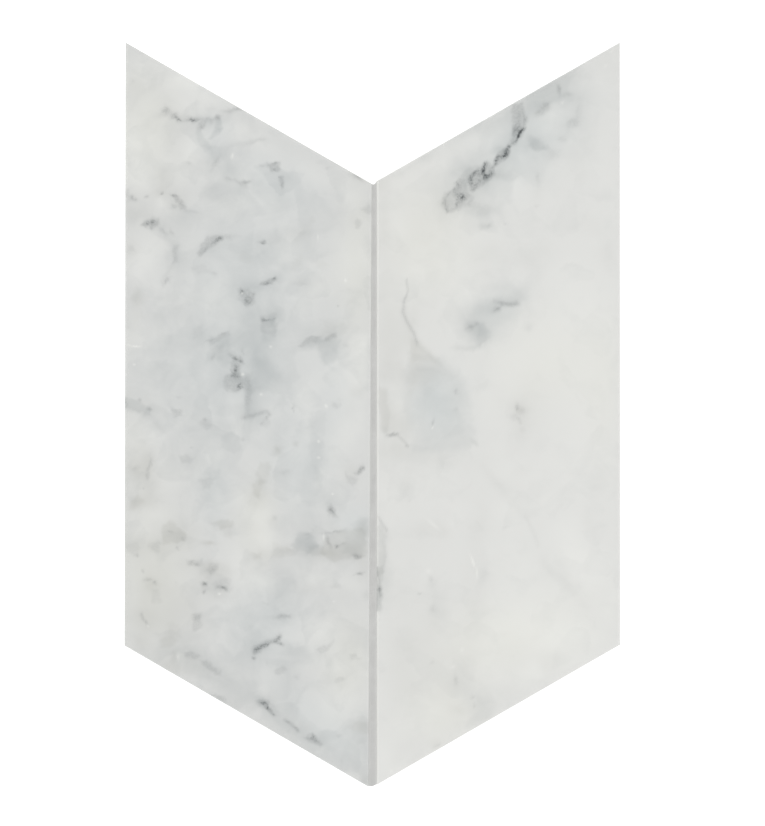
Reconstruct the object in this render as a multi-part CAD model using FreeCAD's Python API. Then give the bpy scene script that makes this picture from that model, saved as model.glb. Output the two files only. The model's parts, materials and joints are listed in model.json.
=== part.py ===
# Chevron wall tile: two mirrored marble tiles with a grouted joint between them.
# Sizes are in millimetres. The chevron lies on its back with the polished face up: X runs across
# the joint, Y runs along it from the tip to the notch, and Z is up. The origin is on the sawn back,
# in the middle of the chevron's outline.

import FreeCAD, Part
import math
import os

# Marble tiles
TILE_WIDTH = 100.2     # square across one tile, from its joint edge to its outer edge
TILE_LENGTH = 305.0    # along the joint, from one acute corner to the other
TILE_THICKNESS = 10.0  # from the sawn back to the polished face
MITRE_ANGLE = 30.0     # slope of the sawn ends, in degrees
ARRIS = 0.6            # bevel that eases the edges of the face

# Grouted joint
JOINT_WIDTH = 2.6      # gap between the joint edges of the two tiles
GROUT_DROP = 0.2       # from the foot of the bevel down to the edge of the grout
GROUT_HOLLOW = 0.4     # how far the tooled surface dips in the middle of the joint
GROUT_END_BOW = 0.35   # how far each end of the grout bows across the joint

# Places that the tiles and the grout share
MITRE_RISE = TILE_WIDTH * math.tan(math.radians(MITRE_ANGLE))
JOINT_EDGE_X = JOINT_WIDTH / 2
OUTER_EDGE_X = JOINT_EDGE_X + TILE_WIDTH
TIP_Y = -TILE_LENGTH / 2
NOTCH_Y = TILE_LENGTH / 2 - MITRE_RISE


def point(x, y, z=0.0):
    return FreeCAD.Vector(x, y, z)


def bow_radius(half_chord, rise):
    """Radius of the arc that rises by rise over a chord of twice half_chord."""
    return (half_chord**2 + rise**2) / (2 * rise)


def marble_tile():
    """Right-hand tile: a mitred slab, sawn square at the back, with its face edges bevelled."""
    corners = [
        point(JOINT_EDGE_X, TIP_Y),
        point(OUTER_EDGE_X, TIP_Y + MITRE_RISE),
        point(OUTER_EDGE_X, NOTCH_Y + MITRE_RISE),
        point(JOINT_EDGE_X, NOTCH_Y),
    ]
    outline = Part.makePolygon(corners, True)
    slab = Part.Face(outline).extrude(point(0, 0, TILE_THICKNESS))
    polished_face = max(slab.Faces, key=lambda face: face.CenterOfMass.z)
    return slab.makeChamfer(ARRIS, polished_face.Edges)


def grout_joint():
    """Grout that fills the joint to the face, then struck hollow by a round bar drawn along it."""
    tip_shoulder_y = TIP_Y + GROUT_END_BOW
    left_side = Part.LineSegment(point(-JOINT_EDGE_X, tip_shoulder_y), point(-JOINT_EDGE_X, NOTCH_Y))
    notch_end = Part.Arc(
        point(-JOINT_EDGE_X, NOTCH_Y),
        point(0, NOTCH_Y - GROUT_END_BOW),
        point(JOINT_EDGE_X, NOTCH_Y),
    )
    right_side = Part.LineSegment(point(JOINT_EDGE_X, NOTCH_Y), point(JOINT_EDGE_X, tip_shoulder_y))
    tip_end = Part.Arc(
        point(JOINT_EDGE_X, tip_shoulder_y),
        point(0, TIP_Y),
        point(-JOINT_EDGE_X, tip_shoulder_y),
    )
    outline = Part.Wire([edge.toShape() for edge in (left_side, notch_end, right_side, tip_end)])
    filling = Part.Face(outline).extrude(point(0, 0, TILE_THICKNESS))

    bar_radius = bow_radius(JOINT_EDGE_X, GROUT_HOLLOW)
    grout_edge_z = TILE_THICKNESS - ARRIS - GROUT_DROP
    bar_axis_z = grout_edge_z - GROUT_HOLLOW + bar_radius
    bar = Part.makeCylinder(bar_radius, TILE_LENGTH, point(0, TIP_Y, bar_axis_z), point(0, 1, 0))
    return filling.cut(bar)


def main():
    right_tile = marble_tile()
    pieces = {
        "right_tile": right_tile,
        "left_tile": right_tile.mirror(point(0, 0, 0), point(1, 0, 0)),
        "grout_joint": grout_joint(),
    }
    os.makedirs("parts", exist_ok=True)
    for name, piece in pieces.items():
        piece.exportStep(f"parts/{name}.step")
        print(f"{name}: {len(piece.Solids)} solid, {piece.Volume / 1000:.1f} cm3, valid {piece.isValid()}")


main()
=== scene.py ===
import bpy
import json
import math
import numpy as np
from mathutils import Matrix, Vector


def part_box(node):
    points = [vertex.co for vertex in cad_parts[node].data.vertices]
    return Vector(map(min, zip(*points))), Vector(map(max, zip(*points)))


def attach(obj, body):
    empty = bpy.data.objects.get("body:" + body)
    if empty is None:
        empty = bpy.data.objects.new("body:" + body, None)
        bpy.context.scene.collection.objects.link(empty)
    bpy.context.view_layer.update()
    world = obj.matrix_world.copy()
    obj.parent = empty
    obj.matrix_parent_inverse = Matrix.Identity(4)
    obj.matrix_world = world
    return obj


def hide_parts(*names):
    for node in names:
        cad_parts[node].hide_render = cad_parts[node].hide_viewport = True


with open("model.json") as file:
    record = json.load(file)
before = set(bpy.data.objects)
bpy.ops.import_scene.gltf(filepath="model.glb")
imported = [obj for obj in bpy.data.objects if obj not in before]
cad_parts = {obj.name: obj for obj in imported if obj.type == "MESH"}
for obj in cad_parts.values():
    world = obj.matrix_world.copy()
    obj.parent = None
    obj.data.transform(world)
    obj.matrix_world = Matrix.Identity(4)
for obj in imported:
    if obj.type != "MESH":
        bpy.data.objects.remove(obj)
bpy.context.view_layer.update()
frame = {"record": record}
mm = 0.001

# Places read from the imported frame, in metres
rightLow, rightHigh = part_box("right_tile")
groutLow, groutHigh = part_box("grout_joint")
mounts = {mount["name"]: mount for mount in frame["record"]["mounts"]}
tipAxis = mounts["right_tip_end"]["axis"]
mitreSlope = -tipAxis[0] / tipAxis[1]      # rise of the sawn ends over a run of one
mitreCos = 1 / math.hypot(1, mitreSlope)
faceTop = rightHigh.z
tileWide = rightHigh.x - rightLow.x
tileLong = rightHigh.y - rightLow.y - tileWide * mitreSlope
print(f"frame read: tile {tileWide / mm:.1f} by {tileLong / mm:.1f} mm, {faceTop / mm:.1f} mm thick")


# Shader sums

class Wire:
    # a shader socket: each operator on it adds one Math node, and node() adds any other kind
    def __init__(self, tree, socket=None):
        self.tree = tree
        self.socket = socket

    def node(self, kind, settings, plugs, out=0):
        made = self.tree.nodes.new(kind)
        for name, value in settings.items():
            setattr(made, name, value)
        for name, value in plugs.items():
            if isinstance(value, Wire):
                self.tree.links.new(value.socket, made.inputs[name])
            else:
                made.inputs[name].default_value = value
        return Wire(self.tree, made.outputs[out] if made.outputs else None)

    def math(self, operation, *values):
        return self.node("ShaderNodeMath", {"operation": operation}, dict(enumerate(values)))

    def vector(self, operation, *values, out=0):
        return self.node("ShaderNodeVectorMath", {"operation": operation}, dict(enumerate(values)), out)

    def __add__(self, other):
        return self.math("ADD", self, other)

    def __radd__(self, other):
        return self.math("ADD", other, self)

    def __sub__(self, other):
        return self.math("SUBTRACT", self, other)

    def __rsub__(self, other):
        return self.math("SUBTRACT", other, self)

    def __mul__(self, other):
        return self.math("MULTIPLY", self, other)

    def __rmul__(self, other):
        return self.math("MULTIPLY", other, self)

    def __abs__(self):
        return self.math("ABSOLUTE", self)

    def eased(self, start, end):
        # 0 at start and 1 at end with a smooth S between, level outside them
        plugs = {"Value": self, "From Min": start, "From Max": end}
        return self.node("ShaderNodeMapRange", {"interpolation_type": "SMOOTHSTEP"}, plugs)

    def mix(self, amount, first, second):
        # one colour turned into another by an amount, which is held between 0 and 1
        settings = {"data_type": "RGBA", "clamp_factor": True}
        return self.node("ShaderNodeMix", settings, {0: amount, 6: first, 7: second}, 2)

    def toward(self, colour, amount):
        return self.mix(amount, self, colour)

    def place(self):
        # the point on the piece, in millimetres
        metres = self.node("ShaderNodeTexCoord", {}, {}, "Object")
        return self.vector("MULTIPLY", metres, (1 / mm, 1 / mm, 1 / mm))

    def field(self, name):
        return self.node("ShaderNodeAttribute", {"attribute_name": name}, {}, "Fac")

    def noise(self, scale, detail=3.0, roughness=0.55, distortion=0.0, out="Fac"):
        plugs = {"Vector": self, "Scale": scale, "Detail": detail, "Roughness": roughness}
        return self.node("ShaderNodeTexNoise", {}, {**plugs, "Distortion": distortion}, out)

    def shaken(self, scale, reach, detail=3.0):
        # a point moved about by coloured noise, up to half its reach each way
        loose = self.noise(scale, detail, out="Color")
        shift = self.vector("MULTIPLY_ADD", loose, (reach, reach, 0), (-reach / 2, -reach / 2, 0))
        return self.vector("ADD", self, shift)


def tint(red, green, blue):
    # a colour as a screen shows it, 0 to 255, in the renderer's linear light
    shown = np.array([red, green, blue]) / 255
    linear = np.where(shown > 0.04045, ((shown + 0.055) / 1.055) ** 2.4, shown / 12.92)
    return (*linear.tolist(), 1.0)


def newMaterial(name):
    material = bpy.data.materials.new(name)
    material.use_nodes = True
    material.node_tree.nodes.clear()
    return material, Wire(material.node_tree)


def finishMaterial(wires, colour, roughness, normal, level=0.5):
    plugs = {"Base Color": colour, "Roughness": roughness, "Normal": normal, "Specular IOR Level": level}
    skin = wires.node("ShaderNodeBsdfPrincipled", {}, plugs)
    wires.node("ShaderNodeOutputMaterial", {}, {"Surface": skin})


# Shells

sharpFrom = math.radians(35)   # a crease steeper than this stays sharp


def spacedLines(length, edgeSteps, pitch, gather):
    # grid lines over a length: fine steps in from both ends and an even pitch between them,
    # in a number of steps that gather divides
    steps = np.array(edgeSteps)
    count = math.ceil((length - 2 * steps[-1]) / pitch)
    count += -(count + 2 * (len(steps) - 1)) % gather
    inner = np.linspace(steps[-1], length - steps[-1], count + 1)
    return np.concatenate([steps[:-1], inner, length - steps[-2::-1]])


def ringOf(index):
    # the rim of a grid of point numbers, once round
    return np.concatenate([index[0, :-1], index[:-1, -1], index[-1, :0:-1], index[:0:-1, 0]])


def closedShell(name, top, low, wallRows, gather, flip):
    # a sheet, a wall of even rows down from its rim, and a level back at low on every gather-th line
    rows, columns = top.shape[:2]
    index = np.arange(rows * columns).reshape(rows, columns)
    rim = ringOf(index)
    sheet = top.reshape(-1, 3)
    foot = sheet[rim] * (1, 1, 0) + (0, 0, low)
    share = np.linspace(0, 1, wallRows + 2)[1:-1, None, None]
    wall = sheet[rim] * (1 - share) + foot * share
    back = top[::gather, ::gather]
    backRows, backColumns = back.shape[:2]
    backStart = len(sheet) + wallRows * len(rim)
    backIndex = backStart + np.arange(backRows * backColumns).reshape(backRows, backColumns)
    back = back.reshape(-1, 3) * (1, 1, 0) + (0, 0, low)
    points = np.concatenate([sheet, wall.reshape(-1, 3), back])

    def squares(grid):
        return np.stack([grid[:-1, :-1], grid[:-1, 1:], grid[1:, 1:], grid[1:, :-1]], -1).reshape(-1, 4)

    loops = len(sheet) + np.arange(wallRows * len(rim)).reshape(wallRows, len(rim))
    loops = np.concatenate([rim[None], loops])
    after = np.roll(loops, -1, axis=1)
    sides = np.stack([loops[1:], after[1:], after[:-1], loops[:-1]], -1).reshape(-1, 4)
    backRim = ringOf(backIndex)
    groups = loops[-1].reshape(-1, gather)
    skirt = np.column_stack([backRim, np.roll(backRim, -1), np.roll(groups[:, 0], -1), groups[:, ::-1]])
    faces = [squares(index), squares(backIndex)[:, ::-1], sides, skirt]
    faces = [face for part in faces for face in (part[:, ::-1] if flip else part).tolist()]

    mesh = bpy.data.meshes.new(name)
    mesh.from_pydata(points.tolist(), [], faces)
    mesh.polygons.foreach_set("use_smooth", np.ones(len(faces), dtype=bool))
    mesh.set_sharp_from_angle(angle=sharpFrom)
    piece = bpy.data.objects.new(name, mesh)
    bpy.context.scene.collection.objects.link(piece)
    print(f"{name}: {len(points)} points, {len(faces)} faces")
    return piece, points


def lattice(seed, x, y, pitch, octaves=1):
    # random heights, 0 to 1, on the corners of a square net, S-eased between them;
    # each further octave halves the pitch and the weight and turns the net
    random = np.random.default_rng(seed)
    total = np.zeros_like(x)
    for octave in range(octaves):
        turn = 0.7 + 1.3 * octave
        u = (x * math.cos(turn) + y * math.sin(turn)) / pitch * 2**octave
        v = (y * math.cos(turn) - x * math.sin(turn)) / pitch * 2**octave
        u, v = u - u.min(), v - v.min()
        i, j = u.astype(int), v.astype(int)
        u, v = u - i, v - j
        u, v = u * u * (3 - 2 * u), v * v * (3 - 2 * v)
        net = random.random((i.max() + 2, j.max() + 2))
        low = net[i, j] * (1 - u) + net[i + 1, j] * u
        high = net[i, j + 1] * (1 - u) + net[i + 1, j + 1] * u
        total += (low * (1 - v) + high * v) * 0.5**octave
    return total / (2 - 0.5 ** (octaves - 1))


def shaken(seed, x, y, pitch, reach, octaves):
    # places moved about by noise, up to half the reach each way
    moveX = reach * (lattice(seed, x, y, pitch, octaves) - 0.5)
    moveY = reach * (lattice(seed + 1, x, y, pitch, octaves) - 0.5)
    return x + moveX, y + moveY


def blots(x, y, marks):
    # the sum over marks of amount * exp(-r * r), where r is the distance from the mark's
    # middle in its half length along its turn and its half width across it
    total = np.zeros_like(x)
    for middleX, middleY, along, across, turn, amount in marks:
        cos, sin = math.cos(math.radians(turn)), math.sin(math.radians(turn))
        u = ((x - middleX) * cos + (y - middleY) * sin) / along
        v = ((y - middleY) * cos - (x - middleX) * sin) / across
        total += amount * np.exp(-(u * u + v * v))
    return total


def panes(x, y, marks):
    # the sum over marks of amount * an S from 0 to 1 over the softness of the pane's edge;
    # a pane is a convex outline, and a place's depth in it is its least distance inside a side
    total = np.zeros_like(x)
    for soft, amount, corners in marks:
        corner = np.array(corners, dtype=float)
        side = np.roll(corner, -1, axis=0) - corner
        area = np.sum(corner[:, 0] * side[:, 1] - corner[:, 1] * side[:, 0])
        depth = np.full_like(x, np.inf)
        for (cornerX, cornerY), (sideX, sideY) in zip(corner, side):
            inward = (sideX * (y - cornerY) - sideY * (x - cornerX)) / math.hypot(sideX, sideY)
            depth = np.minimum(depth, inward * math.copysign(1, area))
        step = np.clip(depth / soft + 0.5, 0, 1)
        total += amount * step * step * (3 - 2 * step)
    return total


def threads(x, y, marks):
    # the sum over marks of amount * exp(-q * q), where q is the distance from a broken line
    # in its half width
    total = np.zeros_like(x)
    for width, amount, corners in marks:
        nearest = np.full_like(x, np.inf)
        for (startX, startY), (endX, endY) in zip(corners, corners[1:]):
            runX, runY = endX - startX, endY - startY
            share = ((x - startX) * runX + (y - startY) * runY) / (runX**2 + runY**2)
            share = np.clip(share, 0, 1)
            gapX = x - startX - share * runX
            gapY = y - startY - share * runY
            nearest = np.minimum(nearest, gapX**2 + gapY**2)
        total += amount * np.exp(-nearest / width**2)
    return total


# Marble tiles

tileShape = dict(
    edgeSteps=[0, 0.1 * mm, 0.2 * mm, 0.35 * mm, 0.5 * mm, 0.65 * mm, 0.85 * mm, 1.2 * mm],
    pitch=0.6 * mm,           # grid spacing away from the edges
    gather=4, wallRows=5,     # grid lines for each line of the back, and rows in the side walls
    arris=0.6 * mm,           # bevel that eases the face's edges
    arrisWander=0.22 * mm,    # how much the bevel's width varies
    wanderPitch=9 * mm,       # and over what length
    arrisRound=0.06 * mm,     # rounding between the bevel and the face
    chip=0.5 * mm,            # deepest nibble out of an edge
    chipPitch=2.2 * mm,
    chipRarity=0.85,          # height of the chip noise that starts a nibble
    edgeReach=2 * mm,         # the face is level further in than this
)

leftTile = dict(
    node="left_tile", slot="left_marble", side=-1, seed=11,
    jointAtTip=1.55, jointAtNotch=0.15,       # joint edge from the middle line at its two ends, mm
    jointArris=0.35,                          # bevel beside the joint, mm
    outerLean=0.45,                           # how far in the outer edge leans by its upper end, mm
    tipLift=(0.1, 0.1), notchLift=(-0.1, 0),  # rise of each sawn end, at the joint and outside, mm
    ground=tint(216.9, 217.8, 216),
    arrisHighlight=0.1,                           # how pale the painted highlight on the bevel beside the joint is
    mottle=1.0,                               # strength of the clouds between the marks
    # marks were read from the photo: (x, y, half length, half width, turn in degrees, amount), in mm
    flecks=[
        # chain near the top edge
        (-85.6, 124.3, 2.2, 1.5, 50, 0.3), (-81.3, 122.4, 3, 1.5, -28, 0.34),
        (-79.8, 121.5, 1.2, 0.6, -30, 0.32), (-77.4, 120.9, 1.2, 0.5, -10, 0.1),
        (-73.8, 120.7, 2, 0.7, 4, 0.46), (-73.8, 121.3, 3, 1.5, 0, 0.2),
        (-71.4, 121.2, 1.2, 0.5, 15, 0.25), (-70, 118, 1.8, 1, 50, 0.36),
        (-66.4, 120.9, 3.6, 1, 10, 0.2), (-63.3, 122.1, 1.3, 0.6, 15, 0.3),
        (-58, 124.6, 3.4, 0.9, 10, 0.2), (-55, 125.6, 1.8, 0.8, 5, 0.28),
        (-66.3, 125.3, 2, 1.4, 0, 0.08), (-63.9, 104.5, 1.4, 0.9, 50, 0.17),
        (-65, 102, 2.2, 0.9, 60, 0.13), (-75.4, 103, 0.8, 0.7, 0, 0.16), (-50, 111.8, 4.6, 1, 14, 0.09),
        (-46.4, 112.9, 2, 1, 15, 0.07), (-98.5, 137, 0.9, 1, 0, 0.1),
        # upper middle
        (-40.3, 101, 1, 0.8, 0, 0.3), (-40.5, 103.4, 1.8, 0.6, 10, 0.2),
        (-45.4, 102.6, 1.8, 0.6, 5, 0.16), (-37.8, 97.6, 1, 0.5, 0, 0.25),
        (-37.2, 94.2, 0.7, 1.6, 0, 0.15), (-51.4, 94.7, 1.6, 0.7, 30, 0.3),
        (-58.7, 96.5, 1.6, 0.9, -10, 0.18), (-54.5, 95, 3, 0.8, -15, 0.06),
        (-18.6, 100.7, 1, 0.6, 0, 0.1), (-6, 97, 1.8, 0.8, -30, 0.22),
        # left edge, upper
        (-98.7, 89, 1, 1.3, 60, 0.3), (-101, 90, 1, 2, 0, 0.15), (-93, 89.3, 0.7, 0.6, 0, 0.25),
        (-86.7, 90.9, 0.7, 0.7, 0, 0.38), (-81.4, 90.6, 1.2, 0.6, -10, 0.34),
        (-82, 85.2, 1.4, 0.9, 0, 0.2), (-74, 83.2, 3, 0.7, -5, 0.12), (-91, 79.3, 1, 0.6, 20, 0.25),
        (-92.8, 78.3, 1.4, 0.7, 20, 0.18), (-86.4, 75.8, 2.2, 0.8, -45, 0.16),
        (-82.3, 75, 1.5, 0.6, -65, 0.24), (-84.2, 55, 1.7, 0.7, 55, 0.26),
        (-99.3, 67.6, 1.6, 1.5, 0, 0.14),
        # diagonal flecks through the middle
        (-64.6, 71.8, 2.6, 0.6, 38, 0.38), (-62.9, 73, 0.8, 0.4, 30, 0.12),
        (-69.5, 67.4, 1.8, 0.8, 52, 0.16), (-45.4, 70.6, 1.2, 0.6, -25, 0.6),
        (-59.4, 73.1, 2.2, 1.2, 0, 0.14), (-29, 74.5, 2, 1, 0, 0.07), (-65.5, 58.3, 1, 0.6, 0, 0.12),
        (-40.4, 55.9, 1, 0.6, 20, 0.3), (-44, 54, 1.8, 0.6, 15, 0.2), (-53.8, 50.7, 0.6, 1.4, 0, 0.42),
        (-52, 48.4, 0.5, 1, 0, 0.2), (-50.8, 47.4, 1.2, 1.5, 0, 0.3), (-49.6, 50, 0.4, 1, 0, 0.2),
        (-44.2, 39.3, 1.3, 0.6, 0, 0.55), (-40.6, 39.7, 0.9, 0.4, 0, 0.3),
        (-42.3, 39.5, 0.8, 0.5, 0, 0.25), (-60.8, 33.2, 1.5, 0.7, 15, 0.12),
        (-66.5, 31.4, 1.3, 0.6, 20, 0.1), (-65, 24, 0.8, 1, 0, 0.12), (-14.2, 44.8, 0.6, 0.4, 0, 0.2),
        (-11.6, 29, 1.2, 0.6, 0, 0.08), (-29, 54, 3, 0.6, 0, 0.07),
        # dark cluster and the hooked line under it
        (-56.3, 23.7, 1.1, 0.6, 0, 0.5), (-54.6, 22.6, 0.9, 0.6, -40, 0.3),
        (-56.3, 19, 0.6, 1.5, 0, 0.45), (-54.8, 13.4, 1.1, 0.6, 20, 0.4),
        (-55.4, 11.9, 0.6, 1.1, 0, 0.4), (-53.6, 12.4, 0.5, 0.9, 0, 0.3),
        (-53.3, 26.4, 0.5, 1, 0, 0.18), (-44, -0.8, 0.9, 0.5, 0, 0.34),
        (-45.4, -3.3, 0.6, 0.6, 0, 0.16), (-52.8, -9.3, 0.8, 0.8, 0, 0.16),
        (-95, 6.1, 0.7, 0.6, 0, 0.22), (-91.5, 2.2, 0.9, 0.7, 0, 0.25),
        (-101.4, 5.2, 0.5, 1.5, 0, 0.28), (-80.2, 7.4, 1.5, 0.5, 0, 0.1),
        (-68.6, -1.6, 0.7, 1, 0, 0.12), (-33, 3.5, 0.7, 0.9, 0, 0.27), (-32.6, 2, 0.5, 0.5, 0, 0.2),
        (-15.8, 4.4, 1.4, 1.2, 0, 0.14), (-13.6, 4.4, 0.5, 1, 0, 0.08),
        # lower middle
        (-74, -13, 0.5, 0.4, 0, 0.15), (-91.8, -20.5, 3.6, 0.7, 84, 0.2),
        (-92.6, -24.8, 0.8, 1.2, 0, 0.2), (-97, -21.6, 1.5, 0.9, 0, 0.12),
        (-94.3, -29.7, 0.4, 0.4, 0, 0.15), (-36, -23.4, 2.6, 1, 5, 0.1), (-5.4, -21.9, 2, 0.9, 50, 0.2),
        (-5, -21.3, 0.6, 0.5, 0, 0.14), (-6.3, -23.2, 1, 0.8, 0, 0.15),
        (-16.9, -38.6, 2.2, 0.9, -62, 0.26), (-17.4, -37.6, 0.9, 0.5, -65, 0.15),
        (-40.5, -42, 1, 0.8, 0, 0.13),
        # ridges in the grey patch beside the joint
        (-16.2, -47.3, 4.4, 0.6, 8, 0.26), (-18.6, -51.6, 2.8, 0.7, -65, 0.3),
        (-27, -47.6, 2, 0.6, 0, 0.12), (-14.3, -53.4, 0.9, 0.7, 0, 0.5),
        (-12, -52.5, 1.5, 0.4, 30, 0.15), (-6.4, -57.3, 1.9, 1.1, 0, 0.37),
        (-5.5, -64.6, 1.7, 0.6, 15, 0.38), (-15, -70, 2.5, 1, 0, 0.1), (-2.8, -73, 1.5, 2, 0, 0.1),
        # scattered flecks, lower left
        (-83, -47.8, 0.9, 0.5, 0, 0.16), (-77.4, -50.6, 1.1, 0.8, 0, 0.13),
        (-80, -54.8, 0.6, 0.8, 0, 0.23), (-96.8, -57.2, 0.7, 0.6, 0, 0.2),
        (-74.7, -60, 0.9, 1, 0, 0.16), (-72.4, -60.7, 0.9, 0.8, 0, 0.18),
        (-66, -63.2, 1.6, 0.9, 20, 0.14), (-69.2, -68.3, 1.1, 0.8, 0, 0.55),
        (-69.2, -72.1, 0.6, 0.7, 0, 0.45), (-69, -70, 1.6, 2.6, 0, 0.1),
        (-61.5, -70.4, 1.4, 0.7, 0, 0.45), (-64, -70.2, 1, 0.5, 0, 0.15),
        (-94.4, -62.9, 0.8, 0.7, 0, 0.22), (-92.8, -67, 1.8, 0.7, 12, 0.23),
        (-89.6, -68.6, 0.9, 0.9, 0, 0.27), (-94.6, -82.2, 1.8, 0.7, -65, 0.25),
        (-92.8, -85, 1.3, 0.6, -50, 0.24), (-72.3, -82.3, 1.2, 0.9, 0, 0.16),
        (-37.5, -82.3, 4.2, 0.8, 5, 0.2), (-43.5, -76.5, 1.5, 0.8, 0, 0.1),
        # cores of the forked streak and of the streaks along the bottom edge
        (-46.7, -95.6, 1.6, 0.9, 20, 0.24), (-43.8, -94, 1.6, 0.6, 32, 0.2),
        (-39.2, -91.2, 2, 0.8, 45, 0.28), (-38.2, -93, 1.2, 0.5, -15, 0.25),
        (-48.4, -99.2, 0.7, 0.6, 0, 0.4), (-45.4, -118, 1.5, 0.7, 5, 0.4),
        (-43.7, -119.6, 0.6, 1.1, 0, 0.35), (-42.6, -121.4, 1.3, 0.5, -45, 0.3),
        (-41, -122.7, 1, 0.5, -10, 0.25), (-35.4, -125.4, 1, 0.5, -35, 0.15),
        (-32, -128, 1.2, 0.6, -45, 0.2), (-25.4, -131.6, 1.5, 0.6, 5, 0.35),
        (-24, -132.8, 1, 0.5, -40, 0.3), (-22, -134.4, 1.2, 0.8, -20, 0.1),
        (-14.8, -131, 0.9, 0.8, 0, 0.13), (-32, -107.2, 0.9, 0.6, 0, 0.1),
        (-42.8, -101.4, 0.6, 1, 0, 0.08), (-12.5, -142, 0.7, 2, 0, 0.06),
    ],
    threads=[
        # fine lines: (half width, amount, corners)
        (0.8, 0.03, [(-66, 110), (-58, 110.2), (-46, 113.4)]),
        (0.7, 0.1, [(-81.5, 90.6), (-79, 86), (-77, 83.5)]),
        (0.8, 0.05, [(-69, 74), (-61, 74), (-54, 73.4)]),
        (1, 0.07, [(-82, 62), (-86, 55)]),
        (1.2, 0.1, [(-51.6, 15), (-51.5, 8), (-51.3, 1)]),
        (0.9, 0.2, [(-53, -0.4), (-50, 0.2), (-44, 1.5), (-42.6, 0.2)]),
        (1.2, 0.06, [(-102, 3.2), (-91, -0.5), (-86, -6)]),
        (0.8, 0.2, [(-41, -92.2), (-39, -93), (-37, -93.7)]),
        (0.9, 0.21, [(-48, -96.3), (-44, -94), (-41, -92), (-38.5, -90.2)]),
        (0.6, 0.19, [(-45, -118.4), (-43.6, -121), (-41, -123)]),
        (0.8, 0.2, [(-36.4, -125), (-34, -126.5), (-31.4, -129)]),
    ],
    veinPanes=[
        # (softness, amount, corners): grey haze round the flecks, from the top down
        (1.4, 0.22, [(-44, 103.5), (-38.5, 104.3), (-38.6, 100.3), (-41.5, 100)]),
        (1.5, 0.13, [(-10.2, 98.7), (-6, 97.8), (-5.4, 95.6), (-8, 96.3)]),
        (1.4, 0.2, [(-39, 98), (-36.3, 98), (-35.8, 93), (-37.8, 92.5)]),
        (1.6, 0.12, [(-56.5, 96.4), (-50, 95.6), (-51.2, 92), (-54, 92.6)]),
        (1.4, 0.18, [(-82.4, 90.8), (-79.6, 90.8), (-76.6, 84.6), (-79, 83.6)]),
        (1.5, 0.13, [(-5.2, 84.6), (-2, 86.2), (-0.3, 85), (-0.3, 82.4), (-3, 82.6)]),
        (2, 0.3, [(-94.8, 78), (-92, 80.4), (-88.4, 80.6), (-88, 78.4), (-91, 76.8)]),
        (1.4, 0.13, [(-8.2, 80), (-6.8, 81.2), (-5, 79.5), (-5.6, 76.3), (-7.9, 77)]),
        (2, 0.05, [(-46, 71.5), (-38.5, 76), (-38.5, 71), (-42, 69.5)]),
        (1.6, 0.22, [(-68, 74), (-61, 73.8), (-66, 68.6), (-71, 64.8), (-72.4, 66.4), (-70.6, 70.8)]),
        (1.4, 0.15, [(-81.8, 70), (-80.2, 70), (-79.8, 63), (-82.3, 62.5)]),
        (1.6, 0.07, [(-74.5, 60.5), (-69, 61.5), (-66.5, 58.5), (-72, 57.5)]),
        (1.3, 0.26, [(-46.6, 53.4), (-45.5, 55), (-39.6, 57), (-39.2, 55.2), (-44, 52.8)]),
        (1.8, 0.18, [(-55.6, 52), (-51, 52.6), (-48.4, 50), (-48.4, 46), (-52, 45), (-55, 48)]),
        (1.5, 0.1, [(-46, 40.6), (-39.4, 42.5), (-39.4, 33), (-45.5, 34)]),
        (1.5, 0.06, [(-74, 36), (-70.5, 37), (-70, 33), (-73.5, 32)]),
        (1.4, 0.2, [(-20, 30.4), (-17.5, 33.6), (-15.4, 34), (-15.8, 32), (-18.5, 29.8)]),
        (1.5, 0.13, [(-69, 30), (-66, 32.5), (-59.5, 34.2), (-59, 32.4), (-65, 29.4)]),
        (1.5, 0.2, [(-30.5, 28.8), (-26, 32.4), (-21, 32.4), (-24, 29)]),
        (1.8, 0.08, [(-66.4, 27), (-61, 28.8), (-61.2, 26), (-65.6, 23)]),
        (1.6, 0.22, [(-58.8, 25.2), (-54, 25.2), (-53.2, 21.8), (-57, 21.4)]),
        (1.6, 0.24, [(-58.2, 21.4), (-54.8, 21.4), (-54.2, 16), (-58.6, 15)]),
        (2, 0.22, [(-60.8, 16), (-58, 18), (-53.4, 15.4), (-53, 11), (-57, 9.2), (-60.4, 11.5)]),
        (2, 0.07, [(-51, 13), (-46.5, 11.8), (-50, 7.4)]),
        (2, 0.12, [(-53.2, 17), (-50, 17), (-50, 5), (-52.6, 3)]),
        (1.4, 0.17, [(-82.8, 2.2), (-78.5, 2.2), (-78, 0), (-81, -1)]),
        (1.6, 0.1, [(-46.2, -1.6), (-42.4, -0.6), (-42.2, -4), (-43.5, -5.6), (-46, -4.6)]),
        (1.8, 0.12, [(-71.2, -2.5), (-68.5, -0.8), (-64.6, -4.5), (-68, -5.8)]),
        (1.6, 0.12, [(-79.8, -17), (-76.5, -15.8), (-73.6, -17), (-75.5, -19.2), (-79, -19.5)]),
        (1.5, 0.14, [(-7.6, -23.4), (-5, -20), (-3.6, -20.2), (-4.6, -23), (-6.6, -24.6)]),
        (1.4, 0.13, [(-11.2, -24), (-8, -24.8), (-6.4, -26), (-8, -28.5), (-10.6, -27)]),
        (1.6, 0.1, [(-70.8, -26), (-64.2, -25.6), (-66.4, -30), (-69.6, -30)]),
        (1.5, 0.16, [(-19, -36.8), (-17, -36.4), (-14.6, -40.6), (-16.4, -42), (-18.8, -39)]),
        (1.5, 0.08, [(-100.8, -52), (-97, -51.2), (-95.2, -54), (-97, -57.2), (-100.6, -55)]),
        (1.5, 0.1, [(-92, -52.6), (-86.8, -51.8), (-89, -56.2), (-91.2, -55.2)]),
        (1.4, 0.12, [(-76.6, -58.8), (-70, -58.8), (-69.8, -61.4), (-76, -61.4)]),
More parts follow.
